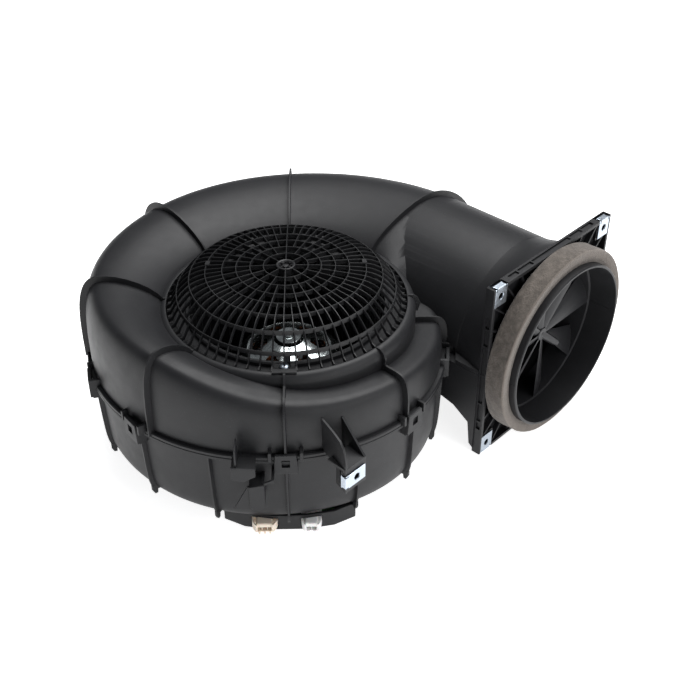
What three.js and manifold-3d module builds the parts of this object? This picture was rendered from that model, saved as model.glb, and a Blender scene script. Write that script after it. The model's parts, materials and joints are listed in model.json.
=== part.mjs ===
// A centrifugal blower: a two-piece spiral housing with a domed inlet grille, a square outlet flange
// with a foam-sealed spigot, and an external-rotor motor that carries the impeller on the inlet axis.
// Millimetres, +Z up. The origin is on the fan axis, at the level that the blower stands on.
import * as THREE from "three";
import { mergeVertices } from "three/addons/utils/BufferGeometryUtils.js";
import Module from "manifold-3d";

const wasm = await Module();
wasm.setup();

// ---------------------------------------------------------------- driving dimensions
const WALL = 2.5; // moulded wall of both shells
const GAP = 0.3; // clearance between pieces that touch
const FINE = 0.15; // half of that clearance, on each side of the parting plane
const AXIS_Z = 85.3; // height of the outlet's axis and of the plane that parts the shells
const FLOOR_Z = 16; // underside of the spiral
const DECK_Z = 133; // top of the round deck that the inlet grille sits on

const DUCT_OFFSET = 168.3; // distance from the fan axis to the outlet's axis
const DUCT_RADIUS = 76;
const SPIGOT_RADIUS = 74.5; // a 150 mm ventilation pipe slides over it
const SPIGOT_BORE = 72;
const SPIGOT_START = 107;
const SPIGOT_END = 166.8;
const OUTLET_TURN = -Math.PI / 4; // the outlet points this way from +X

const FLANGE_BACK = 130;
const FLANGE_FRONT = 142.8;
const FLANGE_HALF_WIDTH = 82;
const FLANGE_HALF_HEIGHT = 85.3;
const FIXING_HALF_WIDTH = 72.4; // the four fixing holes of the flange
const FIXING_HALF_HEIGHT = 76.3;
const SIDE_FIXING = [-68, 82]; // the fifth fixing, on the bracket: across the outlet and up

const DECK_RADIUS = 98; // bore of the raised collar round the deck
const COLLAR_RADIUS = 105;
const COLLAR_Z = 141;
const INLET_RADIUS = 80;
const SCREW_RADIUS = 91.5; // the grille's screw, in front of the fan axis
const RIB_THICKNESS = 2.4;
const CORE_Z = 110; // where the spiral's own section closes on the axis, inside the deck

const BELL_RADIUS = 46; // the steel rotor bell of the motor
const IMPELLER_RADIUS = 96;
const IMPELLER_TOP = 126;
const BLADES = 24;

const COLUMNS = 24; // steps round the spiral
const ROUND = 24; // steps round a duct-sized circle
const MOTOR_STEPS = 18; // steps round the motor's larger turned pieces
const SMALL = 12; // steps round a small turned piece

// The spiral, read clockwise from above, starting in the plane where it becomes the outlet duct.
// Every 45 degrees: radius of the wall, height and radius of the crown, squareness of the shoulder.
const STATIONS = [
  { wall: 128, crown: 115, crownRadius: 112, square: 4.5 },
  { wall: 128, crown: 124, crownRadius: 112, square: 4.5 },
  { wall: 130.5, crown: 131, crownRadius: 112, square: 4.2 },
  { wall: 144, crown: 154, crownRadius: 128, square: 3.4 },
  { wall: 166, crown: 159, crownRadius: 143, square: 3.4 },
  { wall: 187, crown: 161, crownRadius: 150, square: 3 },
  { wall: 213, crown: 161.3, crownRadius: 160, square: 2.4 },
  { wall: 244.3, crown: 161.3, crownRadius: DUCT_OFFSET, square: 2 },
];
const STATION_STEP = 45;
const TONGUE_SWEEP = 30; // past the duct plane the wall has fallen back to its smallest radius

// ---------------------------------------------------------------- small tools
const point = (x, y) => new THREE.Vector2(x, y);
const radians = THREE.MathUtils.degToRad;
const { lerp, smoothstep } = THREE.MathUtils;
const turnZ = (angle) => new THREE.Matrix4().makeRotationZ(angle);
const move = (x, y, z) => new THREE.Matrix4().makeTranslation(x, y, z);
const OUTLET = turnZ(OUTLET_TURN); // local X runs out of the outlet, through the fan axis
const DUCT = OUTLET.clone().multiply(move(0, DUCT_OFFSET, AXIS_Z)); // local X is the outlet's axis

const placed = (geometry, ...matrices) => {
  const g = geometry.clone();
  matrices.reverse().forEach((m) => g.applyMatrix4(m));
  return g;
};

const box = (x, y, z) => {
  const g = new THREE.BoxGeometry(x[1] - x[0], y[1] - y[0], z[1] - z[0]);
  return g.translate((x[0] + x[1]) / 2, (y[0] + y[1]) / 2, (z[0] + z[1]) / 2);
};

// A turned piece about Z. The profile is [radius, height] pairs; it closes on itself off the axis.
const turned = (profile, steps = SMALL) => {
  const points = profile.map(([r, z]) => point(r, z));
  const onAxis = profile[0][0] === 0;
  if (!onAxis) points.push(points[0].clone());
  return new THREE.LatheGeometry(points, steps).rotateX(Math.PI / 2);
};

const rod = (radius, z0, z1, steps = SMALL) =>
  turned([[0, z0], [radius, z0], [radius, z1], [0, z1]], steps);

const tube = (inner, outer, z0, z1, steps = SMALL) =>
  turned([[inner, z0], [outer, z0], [outer, z1], [inner, z1]], steps);

// An outline of [x, y] pairs, extruded along Z from z0 to z1.
const plate = (outline, z0, z1) => {
  const shape = new THREE.Shape(outline.map(([x, y]) => point(x, y)));
  const g = new THREE.ExtrudeGeometry(shape, { depth: z1 - z0, bevelEnabled: false });
  return g.translate(0, 0, z0);
};

// An outline of [along, up] pairs in the XZ plane, from y0 to y1.
const upright = (outline, y0, y1) => plate(outline, -y1, -y0).rotateX(Math.PI / 2);

// A turned piece whose own Z is laid along local X, for what is coaxial with the outlet.
const LAY = new THREE.Matrix4().makeRotationY(Math.PI / 2);

const solid = (geometry) => {
  const g = geometry.clone();
  g.deleteAttribute("normal");
  g.deleteAttribute("uv");
  const merged = mergeVertices(g, 1e-3);
  const triVerts = new Uint32Array(merged.index.array);
  const made = new wasm.Manifold(
    new wasm.Mesh({ numProp: 3, vertProperties: merged.attributes.position.array, triVerts }),
  );
  if (made.volume() > 0) return made;
  for (let i = 0; i < triVerts.length; i += 3) {
    triVerts.subarray(i, i + 3).reverse();
  }
  return new wasm.Manifold(
    new wasm.Mesh({ numProp: 3, vertProperties: merged.attributes.position.array, triVerts }),
  );
};

const asSolid = (piece) => (piece.isBufferGeometry ? solid(piece) : piece);
const join = (...pieces) => pieces.map(asSolid).reduce((a, b) => a.add(b));
const cut = (piece, ...tools) => tools.map(asSolid).reduce((a, b) => a.subtract(b), asSolid(piece));
const keep = (piece, tool) => asSolid(piece).intersect(asSolid(tool));

const geometryOf = (piece) => {
  const { vertProperties, triVerts, numProp, numVert } = piece.getMesh();
  const position = new Float32Array(numVert * 3);
  for (let i = 0; i < numVert; i++) {
    position.set(vertProperties.subarray(i * numProp, i * numProp + 3), i * 3);
  }
  const g = new THREE.BufferGeometry();
  g.setAttribute("position", new THREE.BufferAttribute(position, 3));
  g.setIndex(new THREE.BufferAttribute(new Uint32Array(triVerts), 1));
  return g;
};

const blower = new THREE.Group();
const addPiece = (name, piece, finish) => {
  const solidPiece = asSolid(piece);
  const mesh = new THREE.Mesh(geometryOf(solidPiece), new THREE.MeshStandardMaterial(finish));
  mesh.name = name;
  blower.add(mesh);
};

// ---------------------------------------------------------------- finishes
const BLACK_PLASTIC = { color: 0x2b2c2e, roughness: 0.45, metalness: 0 };
const FOAM = { color: 0x8a827a, roughness: 0.95, metalness: 0 };
const ZINC = { color: 0xc6ccd2, roughness: 0.3, metalness: 1 };
const STEEL = { color: 0xb9bfc4, roughness: 0.22, metalness: 1 };
const LAMINATION = { color: 0x6d7073, roughness: 0.5, metalness: 1 };
const COPPER = { color: 0xa85a32, roughness: 0.4, metalness: 1 };
const RUBBER = { color: 0x1b1b1c, roughness: 0.9, metalness: 0 };
const BEIGE_PLASTIC = { color: 0xdcc9ae, roughness: 0.5, metalness: 0 };
const WHITE_PLASTIC = { color: 0xe9e9e4, roughness: 0.45, metalness: 0 };
const BRASS = { color: 0xc9a24e, roughness: 0.35, metalness: 1 };
const BOARD = { color: 0x2f6b46, roughness: 0.6, metalness: 0 };

// ---------------------------------------------------------------- the spiral
const stationCurve = (key) =>
  new THREE.SplineCurve(STATIONS.map((s, i) => point(STATION_STEP * (i + 1), s[key])));
const CURVES = Object.fromEntries(
  ["wall", "crown", "crownRadius", "square"].map((key) => [key, stationCurve(key)]),
);
const LAST = STATIONS[STATIONS.length - 1];

// The spiral's section at a sweep angle: a curve through the stations, and past the duct plane
// a smooth fall back to the smallest section.
const stationAt = (sweep) => {
  const s = {};
  for (const key of Object.keys(CURVES)) {
    if (sweep >= STATION_STEP) {
      s[key] = CURVES[key].getPoint((sweep - STATION_STEP) / (360 - STATION_STEP)).y;
    } else {
      s[key] = lerp(LAST[key], STATIONS[0][key], smoothstep(sweep, 0, TONGUE_SWEEP));
    }
  }
  return s;
};

const SHOULDER_STEPS = 4;
const power = (value, square) => Math.pow(Math.max(value, 0), 2 / square);

// One quarter of a squared ellipse from (r0, z0) to (r1, z1), leaving r0 vertically.
const quarter = (r0, z0, r1, z1, square, steps) => {
  const points = [];
  for (let i = 0; i <= steps; i++) {
    const t = (Math.PI / 2) * (i / steps);
    const across = power(Math.cos(t), square);
    const up = power(Math.sin(t), square);
    points.push([lerp(r1, r0, across), lerp(z0, z1, up)]);
  }
  return points;
};

// The section from the parting plane up over the crown to the deck, grown by `grow`.
const upperSection = (sweep, grow) => {
  const s = stationAt(sweep);
  const crown = s.crown + grow;
  const inner = Math.min(DECK_Z, s.crown - 1) + grow;
  const shoulder = quarter(s.wall + grow, AXIS_Z, s.crownRadius, crown, s.square, SHOULDER_STEPS);
  const rise = quarter(DECK_RADIUS + 1, inner, s.crownRadius, crown, 1.6, 2);
  return [...shoulder, ...rise.reverse().slice(1)];
};

// The section from the parting plane down and under to the floor, grown by `grow`.
const lowerSection = (sweep, grow) => {
  const s = stationAt(sweep);
  const nearDuct = smoothstep(sweep, 300, 360) + 1 - smoothstep(sweep, 0, TONGUE_SWEEP);
  const bottom = lerp(FLOOR_Z, AXIS_Z - DUCT_RADIUS, nearDuct) - grow;
  const square = lerp(7, 2, nearDuct);
  const draft = lerp(2.5, 0, nearDuct);
  const floorRadius = lerp(s.wall - 22, s.crownRadius, nearDuct);
  const wall = quarter(s.wall + grow, AXIS_Z, floorRadius, bottom, square, SHOULDER_STEPS);
  const drafted = wall.map(([r, z]) => [r - (draft * (AXIS_Z - z)) / AXIS_Z, z]);
  return [...drafted, [DECK_RADIUS - 6, FLOOR_Z - grow]];
};

// A lathe whose every column takes its own section, so that its radius grows round the spiral.
const spiral = (sectionAt) => {
  const first = sectionAt(0);
  const profile = first.map(([r, z]) => point(Math.max(r, 0), z));
  const g = new THREE.LatheGeometry(profile, COLUMNS);
  const position = g.attributes.position;
  for (let column = 0; column <= COLUMNS; column++) {
    const sweep = (360 * (column % COLUMNS)) / COLUMNS;
    const angle = radians(45 - sweep);
    sectionAt(sweep).forEach(([r, z], row) => {
      const index = column * profile.length + row;
      position.setXYZ(index, r * Math.cos(angle), r * Math.sin(angle), z);
    });
  }
  return g;
};

const spiralBody = (grow) =>
  spiral((sweep) => {
    const upper = upperSection(sweep, grow);
    const lower = lowerSection(sweep, grow).slice(1);
    return [[0, FLOOR_Z - grow], ...lower.reverse(), ...upper, [0, CORE_Z]];
  });

// The lip round the parting plane.
const LIP_HALF = 3.5;
const LIP_REACH = 3.6;
const spiralLip = () =>
  spiral((sweep) => {
    const { wall } = stationAt(sweep);
    const loop = [
      [wall - 2, AXIS_Z - LIP_HALF],
      [wall + LIP_REACH, AXIS_Z - LIP_HALF],
      [wall + LIP_REACH, AXIS_Z + LIP_HALF],
      [wall - 2, AXIS_Z + LIP_HALF],
    ];
    return [...loop, loop[0]];
  });

// A thin upright rib that follows a section, between two amounts of growth over it.
const ribOn = (sweep, section, low, high, thickness = RIB_THICKNESS) => {
  const outer = section(sweep, high);
  const inner = section(sweep, low);
  const outline = [...outer, ...inner.reverse()];
  const rib = upright(outline, -thickness / 2, thickness / 2);
  return placed(rib, turnZ(radians(45 - sweep)));
};

const UPPER_FIN_SWEEPS = [0, 45, 90, 135, 180, 225, 270, 315];
const LOWER_RIB_SWEEPS = Array.from({ length: 12 }, (_, i) => 60 + 25 * i);
const FIN_HEIGHT = 5;
const FOOT_DEPTH = 3;

const upperFins = () => UPPER_FIN_SWEEPS.map((sweep) => ribOn(sweep, upperSection, -1, FIN_HEIGHT));

const lowerRibs = () =>
  LOWER_RIB_SWEEPS.map((sweep) => {
    const band = (grow) => lowerSection(sweep, 0).slice(0, -1).map(([r, z]) => [r + grow, z]);
    const outline = [...band(3.4), ...band(-1).reverse()];
    const foot = band(0)[2][0];
    const wall = upright(outline, -RIB_THICKNESS / 2, RIB_THICKNESS / 2);
    const heel = upright(
      [
        [foot - 1.5, FLOOR_Z + 1],
        [foot - 1, FLOOR_Z - FOOT_DEPTH],
        [foot + 1.5, FLOOR_Z - FOOT_DEPTH],
        [foot + 3.4, FLOOR_Z + 1],
        [foot + 3.4, FLOOR_Z + 6],
        [foot - 1, FLOOR_Z + 6],
      ],
      -RIB_THICKNESS / 2,
      RIB_THICKNESS / 2,
    );
    return join(wall, heel).transform(turnZ(radians(45 - sweep)).elements);
  });

// ---------------------------------------------------------------- deck, duct, flange
const deck = () =>
  turned(
    [
      [0, 60],
      [COLLAR_RADIUS, 60],
      [COLLAR_RADIUS, COLLAR_Z - 2],
      [COLLAR_RADIUS - 2, COLLAR_Z],
      [DECK_RADIUS + 1.5, COLLAR_Z],
      [DECK_RADIUS, COLLAR_Z - 1.5],
      [DECK_RADIUS, DECK_Z],
      [INLET_RADIUS + 3, DECK_Z],
      [INLET_RADIUS + 3, DECK_Z + 4],
      [0, DECK_Z + 4],
    ],
    COLUMNS,
  );

const deckHollow = () =>
  turned(
    [
      [0, 60],
      [COLLAR_RADIUS - WALL, 60],
      [COLLAR_RADIUS - WALL, DECK_Z - WALL],
      [0, DECK_Z - WALL],
    ],
    COLUMNS,
  );

const along = (profile, steps = ROUND) => placed(turned(profile, steps), DUCT, LAY);

const duct = () =>
  along([
    [0, -6],
    [DUCT_RADIUS, -6],
    [DUCT_RADIUS, SPIGOT_START - 2],
    [SPIGOT_RADIUS, SPIGOT_START],
    [SPIGOT_RADIUS, SPIGOT_END],
    [0, SPIGOT_END],
  ]);

const ductHollow = () =>
  along([
    [0, -8],
    [DUCT_RADIUS - WALL, -8],
    [DUCT_RADIUS - WALL, SPIGOT_START],
    [SPIGOT_BORE, SPIGOT_START + 2],
    [SPIGOT_BORE, SPIGOT_END + 5],
    [0, SPIGOT_END + 5],
  ]);

const FLANGE_SKIN = 2.5;
const FLANGE_PAD = 2.6; // thickness of the pad that a spring nut grips
const PAD_FRONT = FLANGE_FRONT - 1.4;
const FIXING_HOLE = 3.2;

// A pocketed square flange: a skin at its back, a rim, corner pads and ribs that fan to the corners.
const flange = () => {
  const w = FLANGE_HALF_WIDTH;
  const h = FLANGE_HALF_HEIGHT;
  const depth = [FLANGE_BACK, FLANGE_FRONT];
  const block = box(depth, [-w, w], [-h, h]);
  const pocket = box([FLANGE_BACK + FLANGE_SKIN, FLANGE_FRONT + 5], [3 - w, w - 3], [3 - h, h - 3]);
  const pads = [];
  for (const across of [-1, 1]) {
    for (const up of [-1, 1]) {
      const y = across * FIXING_HALF_WIDTH;
      const z = up * FIXING_HALF_HEIGHT;
      pads.push(box([PAD_FRONT - FLANGE_PAD, PAD_FRONT], [y - 9, y + 9], [z - 10, z + 10]));
      for (const fan of [-16, 0, 16]) {
        const rib = box([FLANGE_BACK, FLANGE_FRONT - 1.5], [70, 96], [-0.8, 0.8]);
        const lean = Math.atan2(up * FIXING_HALF_HEIGHT, across * FIXING_HALF_WIDTH) + radians(fan);
        pads.push(placed(rib, new THREE.Matrix4().makeRotationX(lean)));
      }
    }
  }
  const inside = box(depth, [-w, w], [-h, h]);
  const ribs = keep(join(...pads), inside);
  return join(cut(block, pocket), ribs).transform(DUCT.elements);
};

// The four corners of the flange, each as the signs of its place across and up.
const CORNERS = [
  { name: "upper_near", across: -1, up: 1 },
  { name: "upper_far", across: 1, up: 1 },
  { name: "lower_near", across: -1, up: -1 },
  { name: "lower_far", across: 1, up: -1 },
];

// A frame with local X out of the outlet, its origin at a fixing hole, and +Z towards the near edge.
const cornerFrame = ({ across, up }) =>
  DUCT.clone()
    .multiply(move(0, across * FIXING_HALF_WIDTH, up * FIXING_HALF_HEIGHT))
    .multiply(new THREE.Matrix4().makeRotationX(up < 0 ? Math.PI : 0));

// Each fixing hole, with the room that its spring nut takes in the flange's rim.
const NUT_HALF = 7.5;
const NUT_FOLD = FLANGE_HALF_HEIGHT - FIXING_HALF_HEIGHT - 1.4; // edge of the pad inside the fold
const fixingHoles = () =>
  CORNERS.flatMap((corner) => {
    const hole = placed(rod(FIXING_HOLE, FLANGE_BACK - 10, FLANGE_FRONT + 10, 12), LAY);
    const wide = NUT_HALF + GAP;
    const front = box([PAD_FRONT, FLANGE_FRONT + 5], [-wide, wide], [-9 - GAP, 20]);
    const over = box([PAD_FRONT - 6, FLANGE_FRONT + 5], [-wide, wide], [NUT_FOLD, 20]);
    const behind = box([PAD_FRONT - FLANGE_PAD - 4, PAD_FRONT - FLANGE_PAD], [-6.5, 6.5], [-7.5, 20]);
    return [hole, front, over, behind].map((tool) => placed(tool, cornerFrame(corner)));
  });

// Triangular gussets between the duct and the back of the flange.
const gussets = () =>
  [25, 65, 115, 155, 205, 245, 295, 335].map((angle) => {
    const web = upright(
      [[SPIGOT_START - 8, 73], [FLANGE_BACK + 1, 73], [FLANGE_BACK + 1, 82], [SPIGOT_START + 8, 76]],
      -1,
      1,
    );
    return placed(web, DUCT, new THREE.Matrix4().makeRotationX(radians(angle)));
  });

const ductLips = () => {
  const height = [AXIS_Z - LIP_HALF, AXIS_Z + LIP_HALF];
  const far = box([0, FLANGE_BACK + 1], [DUCT_OFFSET + 74, DUCT_OFFSET + 80], height);
  const near = box([60, FLANGE_BACK + 1], [DUCT_OFFSET - 84, DUCT_OFFSET - 74], height);
  return [placed(far, OUTLET), placed(near, OUTLET)];
};

// The web that ties the spiral's wall to the flange's lower corner beside the tongue.
const cornerWeb = () =>
  placed(
    upright(
      [
        [92, AXIS_Z - 1],
        [FLANGE_BACK + 1, AXIS_Z - 1],
        [FLANGE_BACK + 1, 5],
        [FLANGE_BACK - 3, 8],
        [FLANGE_BACK - 6, 30],
        [112, 40],
        [92, 44],
      ],
      DUCT_OFFSET - 83,
      DUCT_OFFSET - 80.5,
    ),
    OUTLET,
  );

// ---------------------------------------------------------------- clips, hooks, side bracket
const CLIP_ANGLES = [-6, -42, -90, -142, -168, 158, 108];
const CLIP_HALF = 10;
const CLIP_TOP = AXIS_Z + 7;
const LUG_WIDTH = 2.6;

// Where a clip's back stands: just outside the lip, at an angle from +X.
const clipFace = (angle) => stationAt((45 - angle + 360) % 360).wall + LIP_REACH + GAP;

// A snap tongue that stands on the lower shell and reaches up outside the upper shell's lip.
const clip = (angle) => {
  const face = clipFace(angle);
  const outline = [[-CLIP_HALF, -14], [CLIP_HALF, -14], [CLIP_HALF - 2, 7], [2 - CLIP_HALF, 7]];
  const tongue = plate(outline, 0, 3).rotateX(Math.PI / 2).rotateZ(Math.PI / 2);
  const leaf = placed(tongue, move(face, 0, AXIS_Z));
  const root = box([face - 6, face + 1], [-9, 9], [AXIS_Z - 12, AXIS_Z - GAP]);
  return join(leaf, root).transform(turnZ(radians(angle)).elements);
};

// The room that a snap tongue needs in the upper shell's lip.
const clipRoom = (angle) => {
  const face = clipFace(angle);
  const room = box([face - GAP, face + 8], [-CLIP_HALF - GAP, CLIP_HALF + GAP], [AXIS_Z - 1, CLIP_TOP + GAP]);
  return placed(room, turnZ(radians(angle)));
};

// Lugs on the upper shell, one on each side of a snap tongue.
const lugs = (angle) => {
  const face = clipFace(angle);
  const sides = [-1, 1].map((side) => {
    const y = side * (CLIP_HALF + 2 * GAP + LUG_WIDTH / 2);
    return box([face - 7, face + 2.6], [y - LUG_WIDTH / 2, y + LUG_WIDTH / 2], [AXIS_Z + GAP, AXIS_Z + 9]);
  });
  return join(...sides).transform(turnZ(radians(angle)).elements);
};

// The two cable hooks left of the front clip.
const upperHook = () => {
  const shelf = box([-40, -22], [-149.3, -134], [AXIS_Z + 2, AXIS_Z + 4.2]);
  const leaf = upright([[-40, 92], [-22, 90], [-22, 83], [-31, 78], [-40, 80]], -149.3, -147.3);
  const post = upright([[-37.5, 88], [-35.5, 88], [-36, 106], [-37, 106]], -147.3, -132);
  return join(shelf, leaf, post);
};

const lowerHook = () => {
  const arm = box([-27, -24.5], [-147, -127], [44, 66]);
  const leaf = upright([[-39, 46], [-24.5, 44], [-24.5, 66], [-12, 74], [-14, 76], [-30, 63]], -147, -145);
  const brace = box([-14, -11.6], [-147, -131], [68, 76]);
  const floor = box([-30, -24.5], [-147, -131], [60, 62]);
  return join(arm, leaf, brace, floor);
};

// The bracket that carries the fifth fixing, in the plane of the flange's front. It hangs from the
// upper shell, and below the parting plane it stays outside the lower shell's lip.
const BRACKET_HALF = 9;
const BRACKET_SKIN = 2;
const BRACKET_FACE = 2.4;
const sideBracket = () => {
  const [y, z] = SIDE_FIXING;
  const face = PAD_FRONT;
  const edges = [y - BRACKET_HALF - BRACKET_SKIN, y + BRACKET_HALF + BRACKET_SKIN];
  const side = [
    [100, 134],
    [110, 131],
    [face, z + 12],
    [face, z - 12],
    [128, z - 12],
    [128, z + 6],
    [100, z + 6],
  ];
  const left = upright(side, edges[0], edges[0] + BRACKET_SKIN);
  const right = upright(side, edges[1] - BRACKET_SKIN, edges[1]);
  const front = box([face - BRACKET_FACE, face], edges, [z - 11, z + 12]);
  const shelf = box([106, face], edges, [z + 10, z + 12]);
  const hole = placed(rod(FIXING_HOLE, 100, 160, 12), move(0, y, z), LAY);
  const nutSlot = box([face - 8, face - BRACKET_FACE], [edges[0] - 1, edges[0] + 3], [z - 6.5, z + 6.5]);
  return cut(join(left, right, front, shelf), hole, nutSlot).transform(OUTLET.elements);
};

// ---------------------------------------------------------------- the two shells
const MOTOR_SCREWS = [90, 210, 330];
const MOTOR_SCREW_RADIUS = 55;
const MOTOR_OPENING = 47;
const COVER_SCREWS = [-44, 44];
const COVER_SCREW_Y = -82;

const housingBlank = () =>
  join(spiralBody(0), spiralLip(), deck(), duct(), flange(), ...gussets(), ...ductLips());

const housingHollow = () => join(spiralBody(-WALL), deckHollow(), ductHollow());

const aboveParting = box([-400, 400], [-400, 400], [AXIS_Z + FINE, 400]);
const belowParting = box([-400, 400], [-400, 400], [-50, AXIS_Z - FINE]);

const blank = housingBlank();
const hollow = housingHollow();

const upperShell = () => {
  const outside = join(blank, ...upperFins());
  const opened = cut(outside, hollow, rod(INLET_RADIUS, 100, 150, COLUMNS), ...fixingHoles());
  const screwHole = placed(rod(1.9, DECK_Z - 10, DECK_Z + 10, 12), move(0, -SCREW_RADIUS, 0));
  const screwBoss = placed(tube(1.9, 4.5, DECK_Z - 6, DECK_Z, 12), move(0, -SCREW_RADIUS, 0));
  const half = cut(keep(opened, aboveParting), screwHole);
  const bracket = cut(sideBracket(), hollow);
  const full = join(half, screwBoss, bracket, upperHook(), ...CLIP_ANGLES.map(lugs));
  return cut(full, ...CLIP_ANGLES.map(clipRoom));
};

const lowerShell = () => {
  const outside = join(blank, ...lowerRibs(), cornerWeb());
  const opened = cut(outside, hollow, rod(MOTOR_OPENING, 0, 40, COLUMNS), ...fixingHoles());
  const half = keep(opened, belowParting);
  const bosses = MOTOR_SCREWS.map((angle) =>
    placed(rod(5, FLOOR_Z + 1, 23, 12), turnZ(radians(angle)), move(MOTOR_SCREW_RADIUS, 0, 0)),
  );
  const motorHoles = MOTOR_SCREWS.map((angle) =>
    placed(rod(2.3, 0, 22, 12), turnZ(radians(angle)), move(MOTOR_SCREW_RADIUS, 0, 0)),
  );
  const coverBosses = COVER_SCREWS.map((x) => placed(rod(4, FLOOR_Z + 1, 27, 12), move(x, COVER_SCREW_Y, 0)));
  const coverHoles = COVER_SCREWS.map((x) => placed(rod(1.9, 0, 26, 12), move(x, COVER_SCREW_Y, 0)));
  const leadHole = placed(rod(4, 0, 30, 12), move(0, -84, 0));
  const full = join(half, ...bosses, ...coverBosses, lowerHook(), ...CLIP_ANGLES.map(clip));
  return cut(full, ...motorHoles, ...coverHoles, leadHole);
};

// ---------------------------------------------------------------- inlet grille
const GRILLE_RADIUS = 95;
const GRILLE_FOOT = DECK_Z + GAP;
const BAR_DEPTH = 5;
const BAR = 1.6;
const GRILLE_TOP = 172.5;
const SHOULDER_START = 62; // out to this radius the dome is nearly flat, then it rolls over to the rim
const SHOULDER_RADIUS = 30;
const GRILLE_RINGS = [28.5, 50.9, 77.7];
const GRILLE_SPOKES = 16;
const TAB_TOP = 138.4;

const domeHeight = (radius) => {
  const flat = GRILLE_TOP - 3 * (radius / 60) ** 2;
  const past = Math.max(0, radius - SHOULDER_START) / SHOULDER_RADIUS;
  return flat - 26 * past ** 2.4;
};

const grilleRing = (radius) => {
  const z = domeHeight(radius);
  return tube(radius - BAR / 2, radius + BAR / 2, z - BAR_DEPTH, z, GRILLE_SPOKES);
};

const grilleSpoke = (from, angle) => {
  const stops = [from, 66, 80, 90, GRILLE_RADIUS - 1].filter((r, i) => i === 0 || r > from);
  const top = stops.map((r) => [r, Math.max(domeHeight(r), GRILLE_FOOT + 4)]);
  const under = stops.map((r) => [r - 1, Math.max(domeHeight(r) - BAR_DEPTH, GRILLE_FOOT)]);
  const band = upright([...top, ...under.reverse()], -BAR / 2, BAR / 2);
  return placed(band, turnZ(radians(angle)));
};

const inletGrille = () => {
  const hub = rod(8, GRILLE_TOP - BAR_DEPTH, GRILLE_TOP + 1, GRILLE_SPOKES);
  const rim = tube(GRILLE_RADIUS - 3, GRILLE_RADIUS + 1, GRILLE_FOOT, COLLAR_Z, COLUMNS);
  const spokes = Array.from({ length: GRILLE_SPOKES }, (_, i) =>
    grilleSpoke(i % 2 === 0 ? 5 : GRILLE_RINGS[1], (360 / GRILLE_SPOKES) * i),
  );
  const tab = box([-9.5, 9.5], [-96, -86], [GRILLE_FOOT, TAB_TOP]);
  const headRoom = placed(rod(4.6, TAB_TOP, TAB_TOP + 10, 14), move(0, -SCREW_RADIUS, 0));
  const screwHole = placed(rod(2.3, DECK_Z, TAB_TOP + 5, 12), move(0, -SCREW_RADIUS, 0));
  const dome = join(rim, hub, ...GRILLE_RINGS.map(grilleRing), ...spokes, tab);
  return cut(dome, headRoom, screwHole);
};

// A pan-head screw: its head's underside at `seat`, its shank ending at `tip`, above or below it.
const screw = (x, y, seat, tip, shank = 1.6, head = 3.8) => {
  const out = Math.sign(seat - tip);
  const profile = [
    [0, tip],
    [shank, tip],
    [shank, seat],
    [head, seat],
    [head - 0.8, seat + 2.2 * out],
    [0, seat + 2.6 * out],
  ];
  return placed(turned(profile), move(x, y, 0));
};

// ---------------------------------------------------------------- outlet: gasket, vanes, spring nuts
const GASKET_RADIUS = 85;
const outletGasket = () =>
  along([
    [SPIGOT_RADIUS + GAP, FLANGE_FRONT + GAP],
    [GASKET_RADIUS, FLANGE_FRONT + GAP],
    [GASKET_RADIUS, SPIGOT_END - 7],
    [GASKET_RADIUS - 2, SPIGOT_END - 5],
    [SPIGOT_RADIUS + GAP, SPIGOT_END - 5],
  ]);

const VANES = 8;
const VANE_FRONT = 140.8;
const VANE_LENGTH = 28;
const VANE_PITCH = radians(22); // each vane leans this far back from the plane of its front edge
const guideVanes = () => {
  const ring = turned(
    [
      [SPIGOT_BORE - 2.3, 118],
      [SPIGOT_BORE - GAP, 118],
      [SPIGOT_BORE - GAP, VANE_FRONT],
      [SPIGOT_BORE - 2.3, VANE_FRONT],
    ],
    ROUND,
  );
  const hub = rod(5.5, 119, VANE_FRONT, 12);
  const pitch = new THREE.Matrix4().makeRotationX(-VANE_PITCH);
  const vanes = Array.from({ length: VANES }, (_, i) => {
    const blade = plate([[4, -1], [4, 5], [68, VANE_LENGTH], [71, VANE_LENGTH - 2], [71, -1]], -0.8, 0.8);
    return placed(blade, turnZ(radians(45 * i)), move(0, 0, VANE_FRONT - 1.6), pitch);
  });
  const sleeve = rod(SPIGOT_BORE - 1, 112, VANE_FRONT, ROUND);
  const fan = keep(join(...vanes), sleeve);
  return join(ring, hub, fan).transform(DUCT.clone().multiply(LAY).elements);
};

// A sheet-metal spring nut: two leaves and the fold that joins them over an edge.
const NUT_SHEET = 1;
const NUT_HOLE = 2.3;
const springNut = (fold, back) => {
  const front = box([0, NUT_SHEET], [-NUT_HALF, NUT_HALF], [-9, fold + NUT_SHEET]);
  const rear = box([-back - NUT_SHEET, -back], [-6, 6], [-7, fold + NUT_SHEET]);
  const top = box([-back - NUT_SHEET, NUT_SHEET], [-6, 6], [fold, fold + NUT_SHEET]);
  const thread = placed(rod(4, -back - 3, -back, 12), LAY);
  const hole = placed(rod(NUT_HOLE, -back - 10, 10, 12), LAY);
  return cut(join(front, rear, top, thread), hole);
};

const flangeNut = (corner) => {
  const frame = cornerFrame(corner).multiply(move(PAD_FRONT + GAP, 0, 0));
  return springNut(NUT_FOLD + GAP, FLANGE_PAD + 2 * GAP).transform(frame.elements);
};

const bracketNut = () => {
  const fold = BRACKET_HALF + BRACKET_SKIN + GAP;
  const sideways = new THREE.Matrix4().makeRotationX(Math.PI / 2);
  const frame = OUTLET.clone().multiply(move(PAD_FRONT + GAP, ...SIDE_FIXING)).multiply(sideways);
  return springNut(fold, BRACKET_FACE + 2 * GAP).transform(frame.elements);
};

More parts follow.
